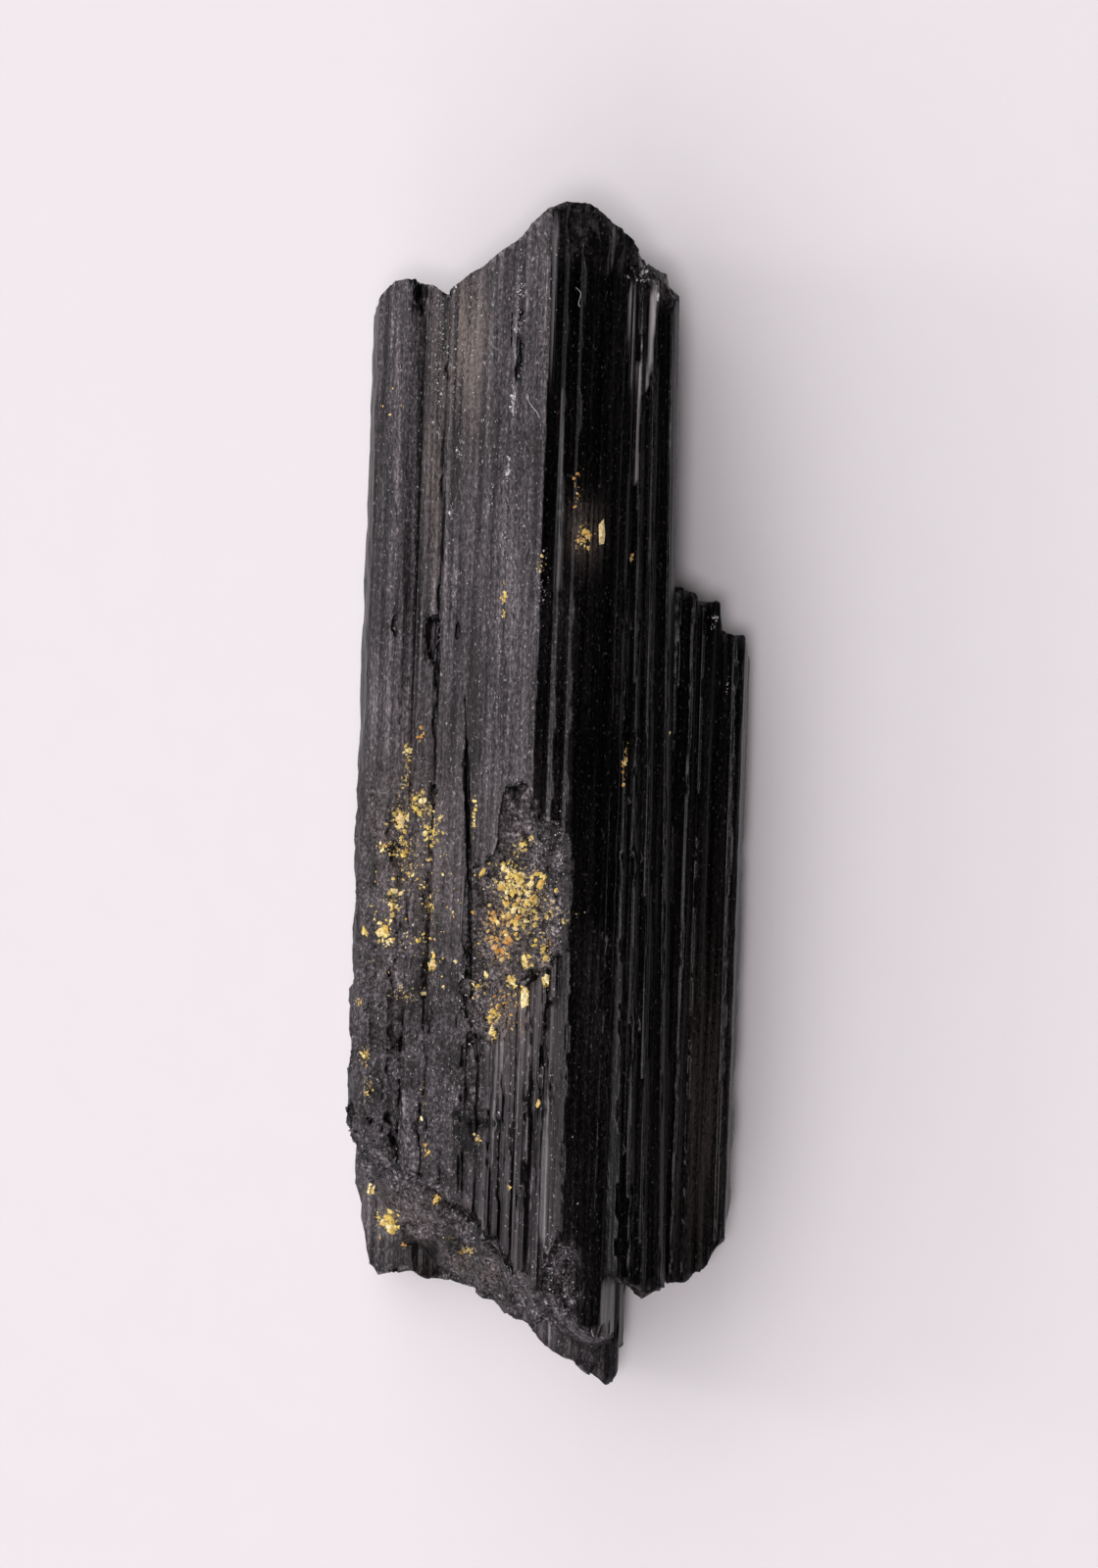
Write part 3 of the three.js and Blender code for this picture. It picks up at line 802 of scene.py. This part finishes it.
def crust(points):
    """Share of the thin yellow crust under the grains at each point, and its tone."""
    share = np.zeros(len(points))
    tone = np.zeros(len(points))
    for cluster in CLUSTERS:
        if cluster.tone == PALE:
            continue
        full_area = CRUST_FULL * cluster.spread[0] * cluster.spread[1]
        fullness = min(1, cluster.count * cluster.largest**2 / full_area)
        here = fullness * bell(points, cluster.centre, cluster.spread, CRUST_REACH)
        tone[here > share] = cluster.tone
        share = np.maximum(share, here)
    return share, tone


def crumb(draw, size, stretch):
    """Corners and faces of one crumb: a jagged icosahedron, flattened, about the origin."""
    bm = bmesh.new()
    bmesh.ops.create_icosphere(bm, subdivisions=1, radius=0.5)
    flatness = draw.uniform(*FLATNESS)
    corners = []
    for vert in bm.verts:
        corner = vert.co * draw.uniform(*JAGGED)
        corners.append(Vector((corner.x * size, corner.y * size * stretch, corner.z * size * flatness)))
    faces = [[vert.index for vert in face.verts] for face in bm.faces]
    bm.free()
    return corners, faces


def lying(normal):
    """Turn that lays a thing's Z along a normal and its Y along the prisms."""
    along = (Vector((0, 1, 0)) - normal * normal.y).normalized()
    return Matrix((along.cross(normal), along, normal)).transposed()


def make_grains(surface):
    """Yellow grains, pale glitter that is partly painted glints, and shards on the crystal, as one mesh with a
    tone and a shade for each.
    """
    draw = random.Random(SEED)
    verts, faces, tones, shades = [], [], [], []

    def add(x, y, size, stretch, spin, tone, shade):
        under = surface.under(x, y)
        if under is None:
            return
        hit, normal = under
        corners, sides = crumb(draw, size * MM, stretch)
        turn = lying(normal) @ Matrix.Rotation(spin, 3, "Z")
        lift = normal * (size * MM * (0.5 - GRAIN_SINK) * FLATNESS[0])
        base = len(verts)
        verts.extend(hit + lift + turn @ corner for corner in corners)
        faces.extend([base + index for index in side] for side in sides)
        tones.extend([tone] * len(corners))
        shades.extend([shade] * len(corners))

    for cluster in CLUSTERS:
        for _ in range(cluster.count):
            x = draw.gauss(cluster.centre[0], cluster.spread[0])
            y = draw.gauss(cluster.centre[1], cluster.spread[1])
            clump = field(np.array([[x, y, 0]]), CLUMPING)[0]
            size = cluster.largest * (GRAIN_LEAST + draw.uniform(0, 1) ** GRAIN_SKEW)
            tone = min(1, max(0, draw.gauss(cluster.tone, TONE_SPREAD)))
            stretch = draw.uniform(*GRAIN_STRETCH)
            spin = draw.uniform(0, math.tau)
            shade = draw.uniform(0, 1)
            if cluster.tone == PALE:
                add(x, y, PALE_SIZE * size, stretch, spin, PALE, shade)
            elif clump > CLUMP_ABOVE:
                add(x, y, size, stretch, spin, tone, shade)
    for shard in SHARDS:
        add(*shard.centre, shard.width, shard.length / shard.width, 0, shard.tone, 1)
    low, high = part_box(NODE)
    for _ in range(SPECK_COUNT):
        x = draw.uniform(low.x, high.x) / MM
        y = draw.uniform(low.y, high.y) / MM
        size = SPECK_SIZE * (SPECK_LEAST + draw.uniform(0, 1) ** SPECK_SKEW * SPECK_VARIES)
        stretch = draw.uniform(*SPECK_STRETCH)
        is_kept = x < RIDGE_X or draw.uniform(0, 1) < SPECKS_ON_RIGHT
        if is_kept and field(np.array([[x, y, 0]]), SPECK_STREAKS)[0] > SPECK_ABOVE:
            add(x, y, size, stretch, 0, PALE, draw.uniform(0, 1))

    mesh = bpy.data.meshes.new("mineral_grains")
    mesh.from_pydata(verts, [], faces)
    for name, values in (("tone", tones), ("shade", shades)):
        mesh.attributes.new(name, "FLOAT", "POINT").data.foreach_set("value", values)
    return add_object("mineral_grains", mesh)


# Lint

# Fibres lying on the crystal: both ends and how far the middle bows sideways
FIBRES = [
    ((-3.4, 26.0), (-3.2, 24.0), 0.25),
    ((-2.4, 25.4), (-1.6, 23.9), -0.2),
    ((0.4, 32.2), (0.7, 31.0), 0.35),
    ((-2.1, -29.4), (-1.3, -30.4), 0.5),
    ((3.7, -33.3), (4.5, -34.3), -0.3),
]
FIBRE_RADIUS = 0.013
FIBRE_STEPS = 14
FIBRE_SIDES = 5
FIBRE_LIFT = 1.5
FIBRE_CURL = 2.2


def make_lint(surface):
    """Fine pale fibres as thin tubes on the crystal."""
    bm = bmesh.new()
    for start, end, bow in FIBRES:
        start, end = Vector(start), Vector(end)
        across = (end - start).orthogonal().normalized()
        rings = []
        for step in range(FIBRE_STEPS + 1):
            share = step / FIBRE_STEPS
            swing, curl = math.sin(math.pi * share), math.cos(FIBRE_CURL * share)
            spot = start.lerp(end, share) + across * bow * swing * curl
            under = surface.under(spot.x, spot.y)
            if under is None:
                continue
            middle = under[0] + Vector((0, 0, FIBRE_LIFT * FIBRE_RADIUS * MM))
            along = (end - start).to_3d().normalized()
            side = along.cross(Vector((0, 0, 1)))
            ring = []
            for corner in range(FIBRE_SIDES):
                turn = math.tau * corner / FIBRE_SIDES
                out = side * math.cos(turn) + Vector((0, 0, math.sin(turn)))
                ring.append(bm.verts.new(middle + out * FIBRE_RADIUS * MM))
            rings.append(ring)
        for lower, upper in zip(rings, rings[1:]):
            for corner in range(FIBRE_SIDES):
                following = (corner + 1) % FIBRE_SIDES
                bm.faces.new((lower[corner], lower[following], upper[following], upper[corner]))
        bm.faces.new(reversed(rings[0]))
        bm.faces.new(rings[-1])
    bmesh.ops.recalc_face_normals(bm, faces=bm.faces)
    mesh = bpy.data.meshes.new("lint")
    bm.to_mesh(mesh)
    bm.free()
    return add_object("lint", mesh)


# Materials

# Places of a Mix node's sockets, which have the same names for numbers and colours
MIX_SHARE = 0
MIX_FIRST_NUMBER, MIX_SECOND_NUMBER, MIX_NUMBER = 2, 3, 0
MIX_FIRST_COLOUR, MIX_SECOND_COLOUR, MIX_COLOUR = 6, 7, 2


class Nodes:
    """A material's node tree with short calls to add and link nodes."""

    def __init__(self, name):
        self.material = bpy.data.materials.new(name)
        self.material.use_nodes = True
        self.tree = self.material.node_tree
        self.shader = self.tree.nodes["Principled BSDF"]

    def add(self, kind, inputs=None, **settings):
        node = self.tree.nodes.new(kind)
        for name, value in settings.items():
            setattr(node, name, value)
        for name, value in (inputs or {}).items():
            self.put(node.inputs[name], value)
        return node

    def put(self, socket, value):
        if isinstance(value, bpy.types.NodeSocket):
            self.tree.links.new(value, socket)
        else:
            socket.default_value = value

    def set(self, **values):
        """Puts values on the shader, by its input names with _ for a space."""
        for name, value in values.items():
            self.put(self.shader.inputs[name.replace("_", " ")], value)

    def attribute(self, name):
        return self.add("ShaderNodeAttribute", attribute_name=name).outputs["Fac"]

    def stretched(self, scale):
        """Object coordinates in cycles, from cycles per millimetre along X, Y and Z."""
        place = self.add("ShaderNodeTexCoord").outputs["Object"]
        per_metre = tuple(value / MM for value in scale)
        inputs = {0: place, 1: per_metre}
        return self.add("ShaderNodeVectorMath", inputs, operation="MULTIPLY").outputs[0]

    def noise(self, scale, detail=3.0, roughness=0.55):
        node = self.add("ShaderNodeTexNoise", {"Scale": 1.0, "Detail": detail, "Roughness": roughness})
        self.put(node.inputs["Vector"], self.stretched(scale))
        return node.outputs["Fac"]

    def math(self, operation, *values):
        node = self.add("ShaderNodeMath", operation=operation)
        for socket, value in zip(node.inputs, values):
            self.put(socket, value)
        return node.outputs[0]

    def product(self, first, *others):
        for other in others:
            first = self.math("MULTIPLY", first, other)
        return first

    def span(self, value, low, high, to_low=0.0, to_high=1.0):
        """Turns a range of values into another, clamped to it."""
        inputs = {
            "Value": value,
            "From Min": low,
            "From Max": high,
            "To Min": to_low,
            "To Max": to_high,
        }
        return self.add("ShaderNodeMapRange", inputs).outputs["Result"]

    def mix(self, share, first, second):
        """Between two colours."""
        node = self.add("ShaderNodeMix", data_type="RGBA")
        self.put(node.inputs[MIX_SHARE], share)
        self.put(node.inputs[MIX_FIRST_COLOUR], first)
        self.put(node.inputs[MIX_SECOND_COLOUR], second)
        return node.outputs[MIX_COLOUR]

    def blend(self, share, first, second):
        """Between two numbers, without clamping them."""
        node = self.add("ShaderNodeMix", data_type="FLOAT")
        self.put(node.inputs[MIX_SHARE], share)
        self.put(node.inputs[MIX_FIRST_NUMBER], first)
        self.put(node.inputs[MIX_SECOND_NUMBER], second)
        return node.outputs[MIX_NUMBER]

    def bump(self, height, distance, strength=1.0, below=None):
        inputs = {"Height": height, "Distance": distance * MM, "Strength": strength}
        if below is not None:
            inputs["Normal"] = below
        return self.add("ShaderNodeBump", inputs).outputs["Normal"]


# Colour of the crystal under full dust, and how much of it the faces under dust, turned to the light, and the
# clean faces turned away show: dust, and painted light that makes the lit side paler
DUST = (1.0, 0.875, 0.96, 1)
LIT_DUST_SHARE = 0.041
MOST_SHARE = 0.5
CLEAN_UNLIT_SHARE = 0.0016
# Brightest to darkest grain, as a ratio, of the dust on smooth and on rough places and of clean faces
SMOOTH_CONTRAST = 2e4
ROUGH_CONTRAST = 1e5
CLEAN_CONTRAST = 5e5
BROWN = (0.18, 0.145, 0.13, 1)
# Pale colour of painted highlights and sparkle on edges, plate faces and flecks
PAINTED_SPARKLE = (0.42, 0.395, 0.405, 1)
OCHRE = (0.3, 0.16, 0.05, 1)
CRUST_YELLOW = (0.62, 0.45, 0.13, 1)
# Direction that the faces under dust look in, leaning left towards the light so that they also carry painted
# light, and the range of agreement with it
DUST_AND_LIGHT_SIDE = (-0.45, 0.0, 0.9)
DUST_AND_LIGHT_FACING = (0.6, 0.95)
LEAST_DUST_AND_LIGHT = 0.04
# Noises: cycles per millimetre along X, Y and Z, detail and roughness
PATCHES = ((0.3, 0.12, 0.3), 2.0, 0.5)
STREAKS = ((2.4, 0.06, 2.4), 3.0, 0.65)
LINES = ((3.8, 0.05, 3.8), 2.0, 0.65)
SCRATCHES = ((7.5, 3.2, 7.5), 2.0, 0.65)
SAND = ((4.6, 4.2, 4.6), 3.0, 0.75)
FLECKS = ((7.0, 3.6, 7.0), 1.0, 0.5)
DASHES = ((3.2, 0.9, 3.2), 2.0, 0.5)
BLOTCHES = ((0.8, 0.5, 0.8), 3.0, 0.6)
STREAK_SHARE = 0.52
LINES_IN_SPLIT = 0.85
MIDDLE_GREY = 0.5
# Ranges of a noise or share, and what they turn into where that isn't 0 to 1
PATCHY = (0.3, 0.7, 0.65, 1.35)
BLOTCHY = (0.4, 0.6, 0.3, 1.75)
DASHED = (0.64, 0.7, 1, 0.3)
CREVICE_PAINTED_SHADE = (0, 0.6, 1, 0.02)
STAINED_GRAIN = (0.36, 0.56)
STAINED_LINES = (0.38, 0.56, 0.1, 1.6)
WORN_GRAIN = (0.4, 0.55)
PLATE_LINES = (0.34, 0.52)
FLECK_PEAKS = (0.66, 0.76)
FLECK_SHARE = (0, 1, 0.1, 0.55)
CRUST_LIFT = 0.16
CRUST_PEAKS = (0.66, 0.72)
CRUST_START = (0.05, 0.25)
GLOSS = (0.3, 0.7, 0.22, 0.36)
DUST_DULLS = 0.12
ROUGH_DULLS = 0.12
TOURMALINE_IOR = 1.63
TOURMALINE_SPECULAR = 0.08
# Bump in millimetres, and its strength on clean faces to faces under dust
STREAK_BUMP = 0.04
GRAIN_BUMP = 0.06
BUMP_STRENGTH = (0, 1, 0.4, 1)


def tourmaline_material():
    nodes = Nodes("tourmaline")
    rough = nodes.attribute("rough")
    stained = nodes.attribute("stain")
    crusted = nodes.attribute("crust")
    dust_and_lit_place = nodes.span(nodes.attribute("dust_and_lit_side"), 0, 1, LEAST_DUST_AND_LIGHT, 1)
    patches = nodes.noise(*PATCHES)
    streaks = nodes.noise(*STREAKS)
    lines = nodes.noise(*LINES)
    scratches = nodes.noise(*SCRATCHES)
    grit = nodes.noise(*SAND)
    flecks = nodes.noise(*FLECKS)
    dashes = nodes.noise(*DASHES)
    blotches = nodes.noise(*BLOTCHES)
    normal = nodes.add("ShaderNodeNewGeometry").outputs["Normal"]
    # Faces turned up and to the left, towards the light, take the dust: dust, and painted light on the lit side
    facing = nodes.add("ShaderNodeVectorMath", {0: normal, 1: DUST_AND_LIGHT_SIDE}, operation="DOT_PRODUCT")
    dust_and_lit_facing = nodes.product(nodes.span(facing.outputs["Value"], *DUST_AND_LIGHT_FACING), dust_and_lit_place)
    dust_and_lit_facing = nodes.math("MAXIMUM", dust_and_lit_facing, nodes.attribute("coated"))

    striped = nodes.blend(STREAK_SHARE, scratches, streaks)
    striped = nodes.blend(nodes.product(nodes.attribute("split"), LINES_IN_SPLIT), striped, lines)
    grain = nodes.blend(rough, striped, grit)
    share = nodes.span(dust_and_lit_facing, 0, 1, CLEAN_UNLIT_SHARE, LIT_DUST_SHARE)
    share = nodes.product(share, nodes.span(patches, *PATCHY))
    blotched = nodes.blend(rough, 1.0, nodes.span(blotches, *BLOTCHY))
    share = nodes.product(share, blotched, nodes.span(dashes, *DASHED))
    dusty_contrast = nodes.span(rough, 0, 1, SMOOTH_CONTRAST, ROUGH_CONTRAST)
    contrast = nodes.blend(dust_and_lit_facing, CLEAN_CONTRAST, dusty_contrast)
    from_middle = nodes.math("SUBTRACT", grain, MIDDLE_GREY)
    share = nodes.product(share, nodes.math("POWER", contrast, from_middle))
    share = nodes.math("MINIMUM", share, MOST_SHARE)
    # Painted shade: cracks are darkened almost to black
    share = nodes.product(share, nodes.span(nodes.attribute("crevice"), *CREVICE_PAINTED_SHADE))
    scaled = nodes.add("ShaderNodeVectorMath", {0: DUST[:3], "Scale": share}, operation="SCALE")
    dusted = scaled.outputs[0]
    ribbed = nodes.product(nodes.span(grain, *STAINED_GRAIN), nodes.span(lines, *STAINED_LINES))
    browned = nodes.mix(nodes.product(stained, ribbed), dusted, BROWN)
    # Pale edge lines: wear, and painted highlights on the edges
    worn_and_highlit = nodes.product(nodes.attribute("worn_and_highlit"), nodes.span(grain, *WORN_GRAIN))
    highlighted = nodes.mix(worn_and_highlit, browned, PAINTED_SPARKLE)
    # Painted highlights of thin plate faces
    plate_highlighted = nodes.product(nodes.attribute("plate"), nodes.span(lines, *PLATE_LINES))
    highlighted = nodes.mix(plate_highlighted, highlighted, PAINTED_SPARKLE)
    # Painted sparkle: pale flecks, most on the lit faces under dust
    sparkle_fleck = nodes.product(nodes.span(flecks, *FLECK_PEAKS), nodes.span(dust_and_lit_facing, *FLECK_SHARE))
    sparkle_flecked = nodes.mix(sparkle_fleck, highlighted, PAINTED_SPARKLE)
    film = nodes.math("ADD", grit, nodes.product(crusted, CRUST_LIFT))
    film = nodes.product(nodes.span(film, *CRUST_PEAKS), nodes.span(crusted, *CRUST_START))
    yellow = nodes.mix(nodes.attribute("crust_tone"), CRUST_YELLOW, OCHRE)
    nodes.set(Base_Color=nodes.mix(film, sparkle_flecked, yellow))

    gloss = nodes.span(striped, *GLOSS)
    dull = nodes.math("ADD", gloss, nodes.math("MULTIPLY", dust_and_lit_facing, DUST_DULLS))
    nodes.set(
        Roughness=nodes.math("ADD", dull, nodes.math("MULTIPLY", rough, ROUGH_DULLS)),
        IOR=TOURMALINE_IOR,
        Specular_IOR_Level=TOURMALINE_SPECULAR,
    )
    uneven = nodes.bump(streaks, STREAK_BUMP)
    strength = nodes.math("MAXIMUM", nodes.span(dust_and_lit_facing, *BUMP_STRENGTH), rough)
    nodes.set(Normal=nodes.bump(grain, GRAIN_BUMP, strength, uneven))
    return nodes.material


CREAM = (0.92, 0.82, 0.5, 1)
YELLOW = (0.76, 0.55, 0.12, 1)
DULL_YELLOW = (0.42, 0.29, 0.08, 1)
ORANGE = (0.5, 0.23, 0.06, 1)
GREY = (0.12, 0.112, 0.116, 1)
CHALK = (0.6, 0.57, 0.58, 1)
MOTTLE = ((5.0, 5.0, 5.0), 3.0, 0.65)
CRUMBLE = ((9.0, 9.0, 9.0), 3.0)
CRUMBLE_BUMP = 0.03
# Ranges of mottle, shade and tone over which one colour turns into the next
DULL_TO_YELLOW = (0.35, 0.55)
CREAM_SHADE = (0.35, 0.9)
CREAM_MOTTLE = (0.35, 0.6)
YELLOW_TO_ORANGE = (0.15, 0.95)
GREY_TO_CHALK = (0.3, 1)
WARM_TO_PALE = (-0.4, -0.6)


def grain_material():
    nodes = Nodes("mineral_grains")
    tone = nodes.attribute("tone")
    shade = nodes.attribute("shade")
    mottle = nodes.noise(*MOTTLE)
    mottled = nodes.mix(nodes.span(mottle, *DULL_TO_YELLOW), DULL_YELLOW, YELLOW)
    creamy = nodes.product(nodes.span(shade, *CREAM_SHADE), nodes.span(mottle, *CREAM_MOTTLE))
    yellow = nodes.mix(creamy, mottled, CREAM)
    warm = nodes.mix(nodes.span(tone, *YELLOW_TO_ORANGE), yellow, ORANGE)
    # Pale grains, grey to chalk, which are partly painted glints
    pale = nodes.mix(nodes.span(shade, *GREY_TO_CHALK), GREY, CHALK)
    nodes.set(
        Base_Color=nodes.mix(nodes.span(tone, *WARM_TO_PALE), warm, pale),
        Roughness=0.6,
        Specular_IOR_Level=0.3,
        Normal=nodes.bump(nodes.noise(*CRUMBLE), CRUMBLE_BUMP),
    )
    return nodes.material


LINT_TINT = (2.0, 2.0, 2.0)
LINT_GREY = (0.62, 0.6, 0.6, 1)
LINT_WHITE = (0.8, 0.79, 0.8, 1)


def lint_material():
    nodes = Nodes("lint")
    tint = nodes.noise(LINT_TINT)
    nodes.set(Base_Color=nodes.mix(tint, LINT_GREY, LINT_WHITE), Roughness=0.7)
    return nodes.material


PAPER_GRAIN = ((0.3, 0.3, 0.3), 4.0)
PAPER_DARK = (0.82, 0.785, 0.805, 1)
PAPER_LIGHT = (0.84, 0.805, 0.825, 1)


def floor_material():
    nodes = Nodes("pale_paper")
    grain = nodes.noise(*PAPER_GRAIN)
    nodes.set(
        Base_Color=nodes.mix(grain, PAPER_DARK, PAPER_LIGHT),
        Roughness=0.9,
        Specular_IOR_Level=0.2,
    )
    return nodes.material


# Stage

# Metres
FLOOR_SIZE = 4.0


def make_floor():
    bpy.ops.mesh.primitive_plane_add(size=FLOOR_SIZE, location=(0, 0, 0))
    floor = bpy.context.object
    floor.name = "floor"
    floor.data.materials.append(floor_material())


class Lamp(NamedTuple):
    """A square area light that faces the crystal: place and size in metres, power in watts, and colour."""

    name: str
    at: tuple
    size: float
    power: float
    colour: tuple


LAMPS = [
    Lamp("window", (-0.5, 0.06, 0.24), 0.12, 0.4, (1.0, 0.985, 1.0)),
    Lamp("lamp", (-0.02, -0.03, 0.45), 0.06, 0.6, (1.0, 0.93, 0.97)),
]


def make_lamp(lamp):
    data = bpy.data.lights.new(lamp.name, "AREA")
    data.size = lamp.size
    data.energy = lamp.power
    data.color = lamp.colour
    light = bpy.data.objects.new(lamp.name, data)
    light.location = lamp.at
    light.rotation_euler = Vector(lamp.at).to_track_quat("Z", "Y").to_euler()
    bpy.context.scene.collection.objects.link(light)


# Soft light from the whole left and overhead, which fades out towards the right
DOME_STRENGTH = 1.36
DOME_BRIGHT = (1.0, 0.985, 0.995, 1)
DOME_DARK = (0.015, 0.0145, 0.015, 1)
DOME_FADE = (-0.08, 0.14)


def make_dome():
    world = bpy.data.worlds.new("dome")
    world.use_nodes = True
    nodes = world.node_tree.nodes
    links = world.node_tree.links
    direction = nodes.new("ShaderNodeTexCoord")
    parts = nodes.new("ShaderNodeSeparateXYZ")
    fade = nodes.new("ShaderNodeMapRange")
    fade.interpolation_type = "SMOOTHSTEP"
    fade.inputs["From Min"].default_value = DOME_FADE[0]
    fade.inputs["From Max"].default_value = DOME_FADE[1]
    blend = nodes.new("ShaderNodeMix")
    blend.data_type = "RGBA"
    blend.inputs[MIX_FIRST_COLOUR].default_value = DOME_BRIGHT
    blend.inputs[MIX_SECOND_COLOUR].default_value = DOME_DARK
    background = nodes["Background"]
    background.inputs["Strength"].default_value = DOME_STRENGTH
    links.new(direction.outputs["Generated"], parts.inputs[0])
    links.new(parts.outputs["X"], fade.inputs["Value"])
    links.new(fade.outputs["Result"], blend.inputs[MIX_SHARE])
    links.new(blend.outputs[MIX_COLOUR], background.inputs["Color"])
    bpy.context.scene.world = world


def make_lights():
    make_dome()
    for lamp in LAMPS:
        make_lamp(lamp)


def make_camera():
    data = bpy.data.cameras.new("camera")
    data.sensor_width = SENSOR
    data.lens = SENSOR * FOCAL_PIXELS / IMAGE_LONG_SIDE
    data.clip_start = CLIP_START * MM
    camera = bpy.data.objects.new("camera", data)
    camera.location = Vector(CAMERA_AT) * MM
    camera.rotation_euler = (0, 0, math.radians(CAMERA_ROLL))
    bpy.context.scene.collection.objects.link(camera)
    bpy.context.scene.camera = camera


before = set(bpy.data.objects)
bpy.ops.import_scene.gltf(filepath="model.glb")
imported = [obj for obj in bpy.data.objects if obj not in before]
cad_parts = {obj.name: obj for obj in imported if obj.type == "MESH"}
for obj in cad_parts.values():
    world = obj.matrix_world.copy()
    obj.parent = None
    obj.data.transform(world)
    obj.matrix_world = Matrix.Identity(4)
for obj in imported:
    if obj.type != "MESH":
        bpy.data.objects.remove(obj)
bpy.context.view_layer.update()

make_camera()
make_lights()
make_floor()
bpy.context.scene.view_settings.view_transform = "Standard"

crystal = make_crystal()
crystal.data.materials.append(tourmaline_material())
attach(crystal, "root")
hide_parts(NODE)

surface = Surface(crystal)
grains = make_grains(surface)
grains.data.materials.append(grain_material())
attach(grains, "root")

lint = make_lint(surface)
lint.data.materials.append(lint_material())
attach(lint, "root")
